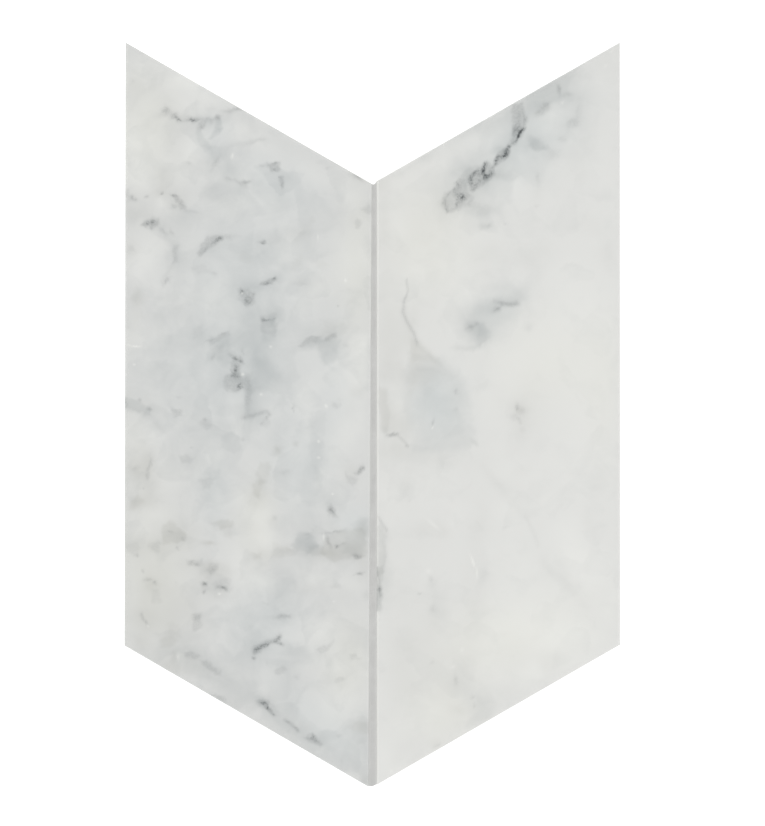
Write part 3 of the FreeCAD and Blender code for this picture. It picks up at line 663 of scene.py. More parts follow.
rightTile = dict(
    node="right_tile", slot="right_marble", side=1, seed=23,
    jointAtTip=1.8, jointAtNotch=1.8, jointArris=0.5,
    outerLean=0.1, tipLift=(0.87, 0.43), notchLift=(1.05, 0),
    # the right tile carries the strongest painted highlight along its joint bevel
    ground=tint(226.4, 226.8, 224), arrisHighlight=0.6, mottle=0.6,
    flecks=[
        # dark cores of the ragged vein, from the top edge downwards
        (60.2, 115.4, 2.6, 0.6, 60, 0.1), (58.8, 112.8, 2, 0.7, 55, 0.15), (59.4, 121, 0.8, 4, 0, 0.12),
        (62, 121.5, 0.6, 2.5, 15, 0.12), (54.9, 106.6, 1.4, 0.9, 60, 0.25),
        (53.4, 105.8, 1.6, 0.7, 20, 0.12), (51, 105, 1.2, 0.7, 60, 0.15),
        (56.1, 109.2, 1.1, 0.6, 60, 0.1), (54, 107.4, 1.6, 0.9, 60, 0.15),
        (45.1, 100.2, 1.9, 0.7, 75, 0.2), (45.8, 98.4, 2, 1, -55, 0.15),
        (48.2, 99.3, 1.2, 0.7, 45, 0.1), (46.6, 102.3, 0.6, 1.2, 0, 0.06),
        (42.4, 99.2, 2.4, 0.6, 20, 0.08), (40.6, 97.5, 0.6, 2, 0, 0.08), (40.2, 95, 0.8, 1.2, 0, 0.1),
        (43.2, 98, 1.5, 0.8, 45, 0.12), (41.8, 94.2, 1.6, 0.6, 35, 0.08),
        (44.5, 96.8, 1.4, 0.6, 30, 0.08), (36.7, 88.8, 0.8, 0.8, 0, 0.2),
        (35.5, 93.6, 1.2, 0.6, 60, 0.25), (34.6, 95, 0.5, 1.2, 0, 0.25), (35.5, 89.8, 1, 0.7, 30, 0.15),
        (37.4, 90.2, 1.2, 0.6, 30, 0.1), (34, 87, 0.6, 1.4, 0, 0.12), (28.6, 87.4, 1.6, 0.6, 60, 0.12),
        (30, 84.4, 0.8, 0.8, 0, 0.12), (32.5, 84.8, 2, 0.6, 15, 0.08), (30.5, 90.2, 2.2, 0.6, 35, 0.18),
        (33.5, 92.4, 1.5, 0.6, 45, 0.2), (51.2, 105.4, 1.6, 0.7, 65, 0.12),
        (40.3, 92.4, 1.4, 0.8, 60, 0.1),
        # patches round the vein
        (69.6, 126, 3.2, 1.9, 40, 0.22), (67.6, 124, 1.4, 1.2, 45, 0.14), (71.3, 127, 1, 1, 0, 0.16),
        (76, 133.6, 2.2, 0.7, -70, 0.3), (80, 131.2, 1.6, 0.7, 0, 0.16), (84, 124, 1.5, 5, 0, 0.1),
        (82, 119.5, 2.5, 2, 0, 0.15), (77.5, 113.5, 1.9, 1.2, 0, 0.13),
        (66.5, 112, 3.5, 2.4, -30, 0.08), (68, 110, 4, 0.8, -5, 0.07), (73.5, 107, 3, 2, -40, 0.09),
        (67, 97.5, 0.8, 1.8, 0, 0.12), (67.3, 86.5, 1, 0.6, 0, 0.1), (45, 84.5, 4.5, 2, -5, 0.09),
        (40, 86, 2.5, 2, 0, 0.1), (45.5, 77.8, 3.5, 1.4, 12, 0.08), (47.3, 78.5, 1.2, 0.7, 0, 0.1),
        (54.5, 79.2, 1, 0.4, 0, 0.2), (52, 98.6, 5, 2.2, 0, 0.08),
        # pair of smudges
        (55.3, 46, 3.6, 1.1, -3, 0.14), (51, 43.7, 1.6, 0.9, 45, 0.38), (51, 47.2, 2, 0.8, 0, 0.15),
        (59.4, 46.8, 1.7, 0.9, 35, 0.1), (39.2, 36, 1.4, 1.4, 0, 0.29), (42, 37.5, 1.3, 0.8, 30, 0.24),
        (43.4, 29, 4, 0.8, 30, 0.06), (36, 27.5, 4, 0.7, 0, 0.07), (64, 36, 1.5, 2, -30, 0.05),
        # marks in and round the blue-grey patch
        (34, 10.3, 0.9, 0.6, 0, 0.2), (34, 9, 0.6, 0.4, 0, 0.15), (34, 2.2, 1, 1, 0, 0.1),
        (25, -2.8, 0.5, 1.5, 0, 0.22), (42, -11, 2, 0.6, -35, 0.1), (7.3, -7.5, 1.8, 0.6, 12, 0.42),
        (9.5, -7, 1, 0.4, 0, 0.2), (11.5, -9.8, 3, 0.4, -52, 0.06), (13.3, -12.8, 0.6, 0.6, 0, 0.15),
        (59.2, 3.6, 0.8, 1.5, 0, 0.35), (61.5, 2, 1.8, 1.5, 0, 0.13), (59.3, -0.7, 0.5, 0.5, 0, 0.2),
        (60, -2, 0.6, 1.6, 0, 0.13), (57.5, 0, 1.5, 1, 0, 0.1), (61.5, -6, 1.5, 2, 0, 0.06),
        # core of the vein beside the joint, and small marks low down
        (2.6, -71, 0.6, 1.4, 0, 0.25), (18.9, -73, 0.9, 0.4, 0, 0.3), (23.5, -66.5, 1, 1.3, 0, 0.12),
        (24.5, -79.3, 1.2, 0.9, 0, 0.12), (14.7, -35.2, 0.5, 0.4, 0, 0.1),
        (54.5, -45.5, 1, 0.3, 0, 0.08), (41.4, -61.6, 2.5, 0.4, -68, 0.12),
        (34, -108.3, 0.8, 2.2, 0, 0.16), (40.5, -116, 0.6, 0.9, 0, 0.14),
        (41.7, -119.5, 0.4, 0.9, 0, 0.12), (24, -101, 0.8, 0.8, 0, 0.08), (26, -135, 1.2, 0.6, 0, 0.1),
    ],
    threads=[
        # crack above the blue-grey patch
        (0.5, 0.16, [(13.8, 55.5), (14, 51), (12.9, 47), (12.6, 42), (14, 38.5), (16.8, 34.5),
                     (18.2, 30)]),
        (1.2, 0.08, [(13, 48), (12.4, 42), (13.8, 38.4), (16.8, 34), (18.4, 29)]),
        (0.7, 0.045, [(17.6, 30), (22, 25.6), (26.4, 21.4), (33, 16)]),
        # long faint diagonal
        (2, 0.026, [(45, -21.6), (47.6, -25), (53.5, -30.4)]),
        (1.8, 0.012, [(55, -33), (62, -41)]),
        (0.9, 0.045, [(62, -41), (66, -48.6), (67.6, -53)]),
        (2, 0.04, [(69.6, -60), (73, -64), (79, -69)]),
        (1.8, 0.025, [(79, -69), (87, -78)]),
        # edge of the vein beside the joint, and its dark core
        (0.5, 0.17, [(1.2, -39.6), (2.6, -42.6), (4.8, -46.6)]),
        (0.8, 0.06, [(4.8, -46.6), (5.4, -57), (4.6, -63)]),
        (0.5, 0.17, [(1.9, -64), (2.1, -66), (2.5, -69), (2.7, -71)]),
        (0.6, 0.26, [(2.6, -70.6), (2.8, -73.4)]),
        # strokes of the ragged vein, from the top edge downwards
        (0.42, 0.95, [(61.1, 117.4), (60, 115.5), (59.2, 113.7)]),
        (0.45, 0.22, [(59.2, 112.8), (58, 111.8), (56.6, 111)]),
        (0.7, 0.42, [(55.6, 109.8), (55, 108.4), (54.4, 106.9), (53.7, 105.8)]),
        (0.6, 0.32, [(52, 106), (51.1, 104.8), (50.4, 103)]),
        (0.75, 0.42, [(45.2, 102.8), (45.5, 102), (44.9, 100.3), (45.3, 98.6), (46.2, 97.1)]),
        (0.7, 0.28, [(46.2, 97.1), (47.4, 97.6), (48.8, 98.9)]),
        (0.8, 0.19, [(44.8, 98.8), (42.6, 99.2), (41, 98.4), (40.2, 96.6), (40.3, 95)]),
        (0.8, 0.17, [(44.2, 95.8), (42.6, 94.2), (40.9, 91.9)]),
        (0.5, 0.32, [(36.6, 89.8), (36, 88.5)]),
        (0.5, 0.18, [(28.8, 87), (29.6, 85), (30.2, 83.6)]),
        # straight core of the upper smudge, and the tail of the dash beside the joint
        (0.9, 0.22, [(52.8, 46.6), (55, 46.3), (58, 46.2)]),
        (0.45, 0.16, [(9.3, -7), (11, -9.3), (13.6, -12.8)]),
    ],
    veinPanes=[
        # body of the ragged vein, from the top edge downwards
        (1.6, 0.24, [(57, 128.5), (60.5, 128.5), (63, 122.5), (62.5, 118), (58, 114.5), (57, 120)]),
        (1.4, 0.22, [(56.4, 110.6), (58.4, 110.6), (61.8, 115.4), (62.2, 118.4), (58.8, 119),
                     (57.2, 114.6)]),
        (1.4, 0.25, [(49, 101.2), (51, 101.6), (55.4, 105.8), (57.2, 109.8), (55.2, 110.8), (51, 107),
                     (49, 103.6)]),
        (1.6, 0.11, [(35.4, 96.5), (38.6, 93), (41, 96), (43, 102), (38.6, 101)]),
        (1.4, 0.24, [(39.5, 92.4), (41.1, 91), (46.6, 94.8), (50.4, 98), (50, 101.4), (46.2, 103.6),
                     (42.4, 101.2), (39.4, 98.2)]),
        (1.4, 0.18, [(33.2, 86), (37, 86.6), (39.4, 91), (37.4, 96), (35, 96.6), (32.8, 92)]),
        (1.2, 0.1, [(33.8, 85.2), (36.6, 85.6), (37.6, 89), (36.4, 91), (34.2, 90.6)]),
        (1.6, 0.15, [(27.2, 87), (29.6, 83), (34.5, 84.6), (36, 93), (29, 90.8)]),
        (1.6, 0.14, [(33.6, 84.4), (38.4, 85), (41.4, 89.4), (39, 91)]),
    ],
    cool=[
        # round the ragged vein
        (83, 139.6, 6, 2.4, 30, 0.06), (86, 138, 7, 4, 30, 0.05), (72, 135.5, 12, 1.6, 30, 0.07),
        (70, 131.4, 13, 3.4, 30, 0.11), (78, 131, 5, 5, 0, 0.04), (70, 131, 12, 3.6, 30, 0.03),
        (76, 129.4, 7, 2.6, 15, 0.12), (64, 127, 5, 4, 0, 0.09), (80, 127, 3, 2, 0, 0.04),
        (86, 126, 4, 8, 0, 0.05), (70, 126, 4, 2.4, 20, 0.06), (66, 123, 3, 2, 0, 0.04),
        (81, 122, 3, 9, 0, 0.035), (82, 122, 8, 12, 0, 0.05), (60, 121, 5, 7, 0, 0.12),
        (68, 121, 8, 5, 0, 0.09), (52, 121, 9, 2.4, 30, 0.05), (44, 119, 12, 2, 30, 0.08),
        (48, 117, 7, 4, 30, 0.07), (57, 115, 1.6, 3, -20, 0.12), (58, 114, 3, 4, 0, 0.08),
        (54, 114, 4, 6, 0, 0.07), (84, 113, 6, 10, 0, 0.04), (66, 112, 4, 4, 0, 0.05),
        (68, 110, 7, 5, -20, 0.08), (63, 110, 3, 3, 0, 0.06), (52.6, 109.8, 2.4, 1.6, 40, 0.1),
        (50.4, 108.4, 3, 2, 40, 0.1), (26, 108, 20, 2.4, 30, 0.05), (37, 107, 6, 3, 30, 0.05),
        (43, 106.6, 7, 3, 30, 0.06), (53, 106, 8, 4, 45, 0.12), (32, 104, 5, 5, 0, 0.04),
        (37, 102, 5, 4, 40, 0.12), (37, 101, 4, 3, 30, 0.06), (60, 100, 5, 8, 0, 0.04),
        (53, 99, 6, 2.6, 0, 0.05), (43, 98, 9, 5, 42, 0.13), (52, 97.5, 4, 1.5, -10, 0.06),
        (67, 97, 2, 4, 0, 0.05), (46, 97, 2, 1.6, 0, 0.08), (38.6, 97, 2, 3, 0, 0.05),
        (37.6, 96, 2, 4, -20, 0.08), (44.4, 95.4, 2.4, 2, 40, 0.1), (28, 95, 5, 5, 0, 0.06),
        (45, 92.5, 3, 2, 40, 0.05), (34, 90, 7, 5, 40, 0.1), (30, 86, 3, 2, 30, 0.06),
        (62, 85, 9, 10, 0, 0.03), (44, 83, 6, 4, 0, 0.04), (38, 83, 3, 2, 0, 0.09),
        (52, 83, 3, 4, 0, 0.05), (97, 78, 4, 8, 0, 0.03), (46, 77.5, 4, 2, 0, 0.05),
        (84, 76, 5, 6, 0, 0.03), (62, 66, 8, 6, 0, 0.03),
        # smudges
        (66, 58, 5, 5, 45, 0.04), (53, 52, 8, 3, 5, 0.05), (17, 52, 4, 10, 0, 0.04),
        (54, 52, 7, 3, 10, 0.05), (61, 51, 7, 3, 45, 0.07), (55, 47, 7, 2.4, 10, 0.14),
        (46, 45, 4, 4, 0, 0.04), (50, 44.5, 3, 2.4, 30, 0.05), (45, 43, 9, 3.6, 12, 0.14),
        (54, 40.4, 8, 3.4, 15, 0.1), (40.5, 37, 4, 3, 20, 0.14), (43, 35, 8, 6.5, 20, 0.06),
        (64.5, 35, 2.4, 1.8, 0, 0.04), (44, 34.5, 3.6, 3.6, 0, 0.1), (41, 30.6, 3, 2, 0, 0.06),
        (39, 28.5, 5, 1.4, -5, 0.07),
        # blue-grey patch
        (21, 19.5, 5, 1.6, -15, 0.06), (36, 13, 3, 4, 0, 0.06), (24, 10, 6, 9, 0, 0.05),
        (17, -1, 2, 3, 0, 0.05), (31, -2, 7, 8, 0, 0.04), (5.6, -6, 2, 2, 0, 0.07),
        (5, -8, 2, 4, 0, 0.04), (24, -12, 5, 3, 0, 0.05), (31, -20, 4, 3, -20, 0.04),
        # lower end
        (91, -30, 3, 2, 0, 0.04), (14, -31, 3, 4, 0, 0.05), (27, -44, 6, 4, 0, 0.03),
        (4, -56, 3, 10, 0, 0.05), (45, -60, 4, 9, 0, 0.03), (45, -64, 3.4, 3.4, 0, 0.05),
        (16, -65, 5, 9, 0, 0.03), (5, -66, 3, 5, 0, 0.06), (24, -69, 2, 3, 0, 0.05),
        (5, -70, 3, 8, 0, 0.07), (2.5, -76, 1.6, 4, 0, 0.16), (24.5, -80, 2.4, 2.4, 0, 0.05),
        (28, -82, 3.5, 8, 0, 0.05), (37, -108, 4, 7, 0, 0.05), (38, -112, 5, 5, 0, 0.05),
        (43, -118, 6, 5, 0, 0.1), (43, -124, 7, 3, 30, 0.09),
        # along a sawn end
        (52, 124.6, 70, 1, 30, 0.06),
    ],
    coolPanes=[
        (2.5, 0.06, [(62, 131), (84, 142.5), (79, 131), (67, 125.5), (63, 124)]),
        (2.5, 0.05, [(44, 118), (57, 125), (58.5, 117), (57, 112), (50, 107), (43, 107)]),
        (1.6, 0.1, [(63.6, 115.6), (67, 114), (72.5, 109.5), (66, 108.8), (63.6, 111)]),
        (4, 0.045, [(50, 103), (60, 115), (70, 122), (84, 122), (76, 106), (72, 99), (58, 97)]),
        (2, 0.04, [(48, 101), (60, 98.5), (58, 96.2), (47, 96)]),
        (3, 0.06, [(38, 89), (46, 95), (58, 97), (56, 88), (49, 82), (40, 82)]),
        (1.6, 0.05, [(43, 77), (48, 77), (49.5, 80), (47, 83.5), (42, 83)]),
        (2, 0.05, [(38, 39), (45, 38), (48, 34), (46, 29.5), (42, 28), (39, 33)]),
        (1.6, 0.06, [(42.5, 38), (45.5, 37.5), (48.6, 34.5), (47.6, 31.5), (43.4, 28.8), (42, 31)]),
        (2.6, 0.03, [(18, 20), (29, 18.4), (35.6, 11), (37, 0), (37.4, -8), (20, -10), (17, 8)]),
        (3.6, 0.07, [(14, 26), (26, 24), (36.4, 17), (40, 6), (42.4, -6), (43, -12), (30, -14.6),
                     (16, -15), (12.6, 5)]),
        (1.5, 0.055, [(1, -45), (2.6, -43.6), (5, -48), (5.6, -57), (4.6, -64), (1, -66)]),
        (1.5, 0.08, [(1, -62), (4, -62), (3.4, -80), (1, -80)]),
    ],
    olive=[
        # upper third
        (97, 143, 5, 7, 0, 0.03), (92, 120, 5, 12, 0, 0.02), (4, 95, 4, 5, 0, 0.06),
        (66, 92, 3, 7, 0, 0.03), (29, 87, 1.6, 2.4, 0, 0.09), (26, 82, 9, 7, 0, 0.03),
        (4, 78, 3, 12, 0, 0.06), (90, 78, 7, 5, 0, 0.04), (20, 73, 5, 5, 0, 0.05),
        (66, 68, 7, 4, 20, 0.03), (10, 68, 5, 8, 0, 0.04), (48, 68, 5, 4, 0, 0.04),
        (96, 66, 4, 6, 0, 0.03), (42, 66, 6, 3, 0, 0.02), (62, 62, 12, 9, 0, 0.012),
        # middle third
        (4, 40, 4, 18, 0, 0.06), (9, 38, 4, 8, 0, 0.06), (15, 35, 3, 7, -20, 0.07),
        (17, 26, 3, 4, 0, 0.05), (8, 24, 5, 9, 0, 0.05), (56, 24, 6, 8, 0, 0.015),
        (13, 17, 3, 5, 0, 0.04), (17, 16, 2.6, 5, 0, 0.04), (16.4, 10, 2, 6, 0, 0.06),
        (5, 8, 3, 5, 0, 0.05), (60, 2, 4.5, 5, 0, 0.07), (60.5, 1.5, 2.2, 2, 0, 0.07),
        (6, -1, 4, 8, 0, 0.04), (8, -2, 5, 8, 0, 0.08), (13.5, -3, 2.6, 8, 0, 0.06),
        (61, -6, 4, 3, 0, 0.03), (7, -16, 9, 4, 0, 0.06), (28, -17, 12, 3, 0, 0.04),
        (50, -27, 12, 2, -48, 0.015), (14, -29, 3, 5, 0, 0.04), (44, -42, 3, 6, 0, 0.02),
        (88, -44, 3, 5, 0, 0.03), (21, -46, 5, 3, 0, 0.05), (28, -48, 3, 3, 0, 0.05),
        # lower third
        (41, -66, 5, 22, 0, 0.025), (15, -74, 6, 8, 0, 0.03), (24, -84, 5, 10, 0, 0.05),
        (42, -85, 6, 14, 0, 0.03), (14, -92, 8, 8, 0, 0.04), (34, -96, 5, 6, 0, 0.02),
        (72, -102, 5, 5, 0, 0.03), (27, -104, 6, 9, 0, 0.03), (12, -106, 7, 14, 0, 0.05),
        (34, -109, 2.4, 3, 0, 0.03), (55, -112, 5, 4, 0, 0.03), (35, -121, 4, 2.4, 0, 0.06),
        (26, -134, 3, 2, 0, 0.05), (8, -142, 5, 5, 0, 0.02),
    ],
    olivePanes=[
        (1.6, 0.06, [(15.8, 31.5), (18, 31.5), (24, 26), (27, 22), (15.7, 22)]),
        (4, 0.06, [(15.4, 31.5), (18, 31.5), (26, 24), (30, 17), (22, 13), (15.4, 13)]),
        (3, 0.03, [(1, 22), (12, 22), (14, 14), (1, 14)]),
        (1.6, 0.085, [(2, 12), (6, 11), (7, 0), (5.6, -7), (3.4, -6), (2, 4)]),
        (3, 0.03, [(8, 14), (14, 14), (14.6, 0), (14, -14), (7, -14)]),
        (1.5, 0.055, [(1, -45), (2.6, -43.6), (5, -48), (5.6, -57), (4.6, -64), (1, -66)]),
        (1.5, 0.07, [(1, -62), (4, -62), (3.4, -80), (1, -80)]),
    ],
    pale=[
        # upper third
        (73, 121.5, 5, 5, 0, 0.16), (61, 117.6, 1.4, 1.4, 0, 0.14), (12, 96, 6, 4, 30, 0.08),
        (55, 96, 5, 4, 0, 0.12), (92, 95, 8, 14, 0, 0.05), (53, 90, 5, 4, 0, 0.1),
        (46, 81, 3, 3, 0, 0.1), (10, 75, 5, 7, 0, 0.1), (22, 72, 9, 6, 0, 0.12), (9, 70, 5, 8, 0, 0.12),
        (30, 63, 13, 12, 0, 0.24), (80, 60, 4, 4, 0, 0.12), (17, 58, 5, 10, 0, 0.1),
        (18, 52, 3, 4, 0, 0.12), (38, 50, 8, 7, 0, 0.14),
        # middle third
        (83, 45, 14, 16, 0, 0.22), (32, 41, 4, 4, 0, 0.1), (97, 33, 4, 8, 0, 0.12),
        (92, 30, 10, 26, 0, 0.06), (70, 24, 14, 16, 0, 0.2), (55, 20, 8, 10, 0, 0.16),
        (88, 8, 13, 20, 0, 0.2), (10.5, 5, 2.4, 9, 0, 0.18), (46, 5, 5, 7, 0, 0.14),
        (30, 4, 3, 3, 0, 0.1), (50, -14, 4, 4, 0, 0.12), (95, -15, 6, 6, 0, 0.12),
        (82, -18, 14, 14, 0, 0.14), (54, -22, 7, 5, 0, 0.1), (25, -22, 4, 4, 0, 0.12),
        (63, -24, 7, 5, 0, 0.1), (25, -29, 9, 6, 0, 0.16), (12, -30, 4, 4, 0, 0.12),
        (8, -33, 5, 7, 0, 0.14), (77, -33.5, 9, 1.6, 43, 0.08), (65, -36, 11, 3.5, 10, 0.14),
        (53, -38, 6, 5, 0, 0.1), (58, -40, 4, 6, 0, 0.08), (34, -40, 4, 5, 0, 0.08),
        (78, -45, 26, 36, 0, 0.06),
        # lower third
        (80, -52, 8, 9, 0, 0.24), (88, -58, 10, 4, 0, 0.18), (62, -62, 6, 9, 0, 0.14),
        (53, -62, 8, 16, 0, 0.1), (92, -66, 9, 10, 0, 0.14), (83, -66, 8, 7, 0, 0.15),
        (15, -70, 3, 4, 0, 0.1), (99, -78, 3, 8, 0, 0.12), (97, -78, 5, 5, 0, 0.1),
        (63, -85, 18, 13, 0, 0.36), (82, -85, 18, 20, 0, 0.08), (82, -92, 12, 8, 0, 0.3),
        (45, -92, 8, 10, 0, 0.24), (33, -96, 5, 5, 0, 0.1), (62, -98, 20, 4, 30, 0.06),
        (75, -104, 16, 3, 30, 0.1), (65, -105, 6, 4, 30, 0.2), (48, -106, 8, 6, 0, 0.2),
        (60, -107, 7, 4, 30, 0.14), (62, -110, 8, 3, 30, 0.1), (22, -122, 8, 7, 0, 0.2),
        (9, -128, 6, 6, 0, 0.1), (4, -140, 4, 8, 0, 0.2), (25, -140, 14, 6, 30, 0.12),
        (10, -144, 9, 4, 30, 0.1),
        # along a sawn end
        (52, -121.6, 70, 1.2, 30, 0.16),
    ],
    specks=[
        (24.5, -45, 3.6, 0.5, -40, 0.45), (40.8, -60, 3, 0.4, -65, 0.8), (42.4, -64.5, 0.35, 2, 0, 0.5),
        (24.4, -5, 0.4, 0.5, 0, 0.6), (22.8, -63.6, 1, 1, 0, 0.3), (37, -96, 0.7, 1, 0, 0.35),
        (33, -102.5, 0.9, 0.4, 0, 0.4), (95, 143, 0.7, 0.7, 0, 0.3), (97, 149.5, 0.8, 0.4, 30, 0.4),
        (7, -145.5, 0.8, 0.6, 0, 0.3), (77.7, 128.3, 0.5, 0.5, 0, 0.4),
    ],
    straw=[
        (22, 72, 17, 24, 0, 0.12), (72, 22, 22, 18, 0, 0.11), (94, 10, 8, 28, 0, 0.07),
        (56, -91, 30, 14, 12, 0.14), (28, -122, 15, 13, 0, 0.12),
    ],
    steel=[
        (62, 112, 26, 14, 38, 0.12), (27, 4, 11, 14, 0, 0.14), (50, 43, 12, 8, 35, 0.06),
    ],
)


def jointSide(tile, share):
    # a tile's joint edge from the middle line, a straight run from the tip to the notch
    return mm * (tile["jointAtTip"] * (1 - share) + tile["jointAtNotch"] * share)


def tileShell(tile):
    # the face is a level sheet over the mitred outline that drops by (bevel - distance) near its edges,
    # with a rounded corner at the top of the drop; the back is level at zero
    shape = tileShape
    across = spacedLines(tileWide, shape["edgeSteps"], shape["pitch"], shape["gather"])
    along = spacedLines(tileLong, shape["edgeSteps"], shape["pitch"], shape["gather"])
    run, rise = np.meshgrid(across, along)
    share = rise / tileLong
    jointEdge = jointSide(tile, share)
    outerEdge = rightHigh.x - mm * tile["outerLean"] * share
    x = jointEdge + run * (outerEdge - jointEdge) / tileWide
    outward = run / tileWide

    def lift(near, far):
        return mm * (near + (far - near) * outward)

    y = rightLow.y + rise + run * mitreSlope
    y = y + lift(*tile["tipLift"]) * (1 - share) + lift(*tile["notchLift"]) * share

    # distances in from the joint edge, the outer edge, the tip end and the notch end
    edges = [run, tileWide - run, rise * mitreCos, (tileLong - rise) * mitreCos]
    drop = np.zeros_like(run)
    for number, distance in enumerate(edges):
        slow = lattice(tile["seed"] + number, x, y, shape["wanderPitch"], 2)
        quick = lattice(tile["seed"] + 40 + number, x, y, shape["chipPitch"])
        arris = tile["jointArris"] * mm if number == 0 else shape["arris"]
        bevel = arris + shape["arrisWander"] * (slow - 0.5)
        nibble = np.maximum(0, quick - shape["chipRarity"]) / (1 - shape["chipRarity"])
        bevel = bevel + shape["chip"] * nibble * slow**2
        gap = bevel - distance
        drop = np.maximum(drop, (np.sqrt(gap**2 + shape["arrisRound"] ** 2) + gap) / 2)
    drop = np.where(np.minimum.reduce(edges) > shape["edgeReach"], 0, drop)
    top = np.stack([tile["side"] * x, y, faceTop - drop], -1)
    name = tile["slot"] + "_tile"
    return closedShell(name, top, 0, shape["wallRows"], shape["gather"], tile["side"] < 0)


marbleLooks = dict(
    marksZero=(0.37, -0.37),   # where the marks' zero lies in the frame, mm
    lean=(0.45, 0.3),          # how far the veins lean for each millimetre below the face
    # noise that moves the marks about: pitch and reach in mm, and octaves
    bend=(7, 1.8, 2), fray=(1.6, 1.7, 2), sway=(13, 3.5, 3), stir=(2.5, 1.6, 2),
    speckDepth=1,              # specks lie only in this much of the face, mm
    straw=tint(229, 228, 204), steel=tint(194, 215, 222),
    cool=tint(96, 113, 118), olive=tint(122, 121, 104), pale=tint(243, 243.5, 239),
    haze=tint(104, 109, 110), soot=tint(64, 68, 69), sawn=tint(219, 219, 216), kerf=tint(176, 177, 174),
    # shader noise: scale for each mm, detail, roughness and distortion
    clouds=(0.075, 5, 0.55, 0.7), crumbs=(0.26, 4, 0.6, 0.4), warmth=(0.05, 3, 0.5),
    grain=(1.3, 3, 0.6), ridge=(0.5, 3, 0.6),
    cloudShare=0.24, crumbShare=0.06, cellShare=0.08, warmthShare=0.1,
    cellScale=0.085, cellBlend=0.2,
    # noise that moves the cells about: scale for each mm, reach in mm, and detail
    cellSway=(0.06, 11.0, 4), cellStir=(0.5, 1.5, 2),
    # what each fleck is made of: an even part, and what the grain and the veinlets add
    hazeMix=(0.55, 0.6, 0.3), sootMix=(0.1, 1.2, 0.7), sootBand=(0.35, 1.4), sootShare=0.7,
    veinletBand=(0.1, 0),                      # distance of the ridge noise from its middle
    polishTop=0.35, polishFoot=0.9,            # the polish ends between these depths, mm
    highlightBand=(0.35, 0.95),                   # the painted highlight on the joint's bevel fades over this far from the joint, mm
    highlightGap=(0.05, 0.16),                    # amounts of grey cloud that hide the painted highlight
    sideSaw=(0.06, 0.06, 5), backSaw=(3, 0.05, 1),   # saw streaks for each mm along x, y and z
    backBand=(0.05, 0.3), kerfBand=(0.5, 0.8),
    dust=0.35, kerfShare=0.3,                  # how dusty and how streaked the sawn sides are
    polishedRough=0.16, sawnRough=0.6, crumbRough=0.08, sootRough=0.1,
    bump=0.04 * mm, bumpStrength=0.6,
    streakBump=2, sootBump=-0.25, grainBump=0.03,    # heights for each bump distance
)


def storeStone(piece, points, tile):
    # fields on the shell's points, from the marks read over places that noise moves about;
    # the veins lean as they go down through the slab
    looks = marbleLooks
    x, y, z = points.T / mm
    depth = faceTop / mm - z
    x = x + looks["lean"][0] * depth - looks["marksZero"][0]
    y = y + looks["lean"][1] * depth - looks["marksZero"][1]
    # each noise takes two seeds, one for x and one for y
    bent = shaken(tile["seed"] + 80, x, y, *looks["bend"])
    ragged = shaken(tile["seed"] + 82, *bent, *looks["fray"])
    swayed = shaken(tile["seed"] + 84, x, y, *looks["sway"])
    stirred = shaken(tile["seed"] + 86, *swayed, *looks["stir"])
    vein = blots(*ragged, tile["flecks"]) + threads(*bent, tile["threads"])
    fields = dict(
        vein=vein + panes(*ragged, tile["veinPanes"]),
        cool=blots(*stirred, tile["cool"]) + panes(*ragged, tile["coolPanes"]),
        olive=blots(*stirred, tile["olive"]) + panes(*ragged, tile["olivePanes"]),
        pale=blots(*stirred, tile["pale"]),
        speck=blots(*bent, tile["specks"]) * (depth < looks["speckDepth"]),
        straw=blots(*stirred, tile["straw"]),
        steel=blots(*stirred, tile["steel"]),
    )
    for name, values in fields.items():
        field = piece.data.attributes.new(name, "FLOAT", "POINT")
        field.data.foreach_set("value", values)


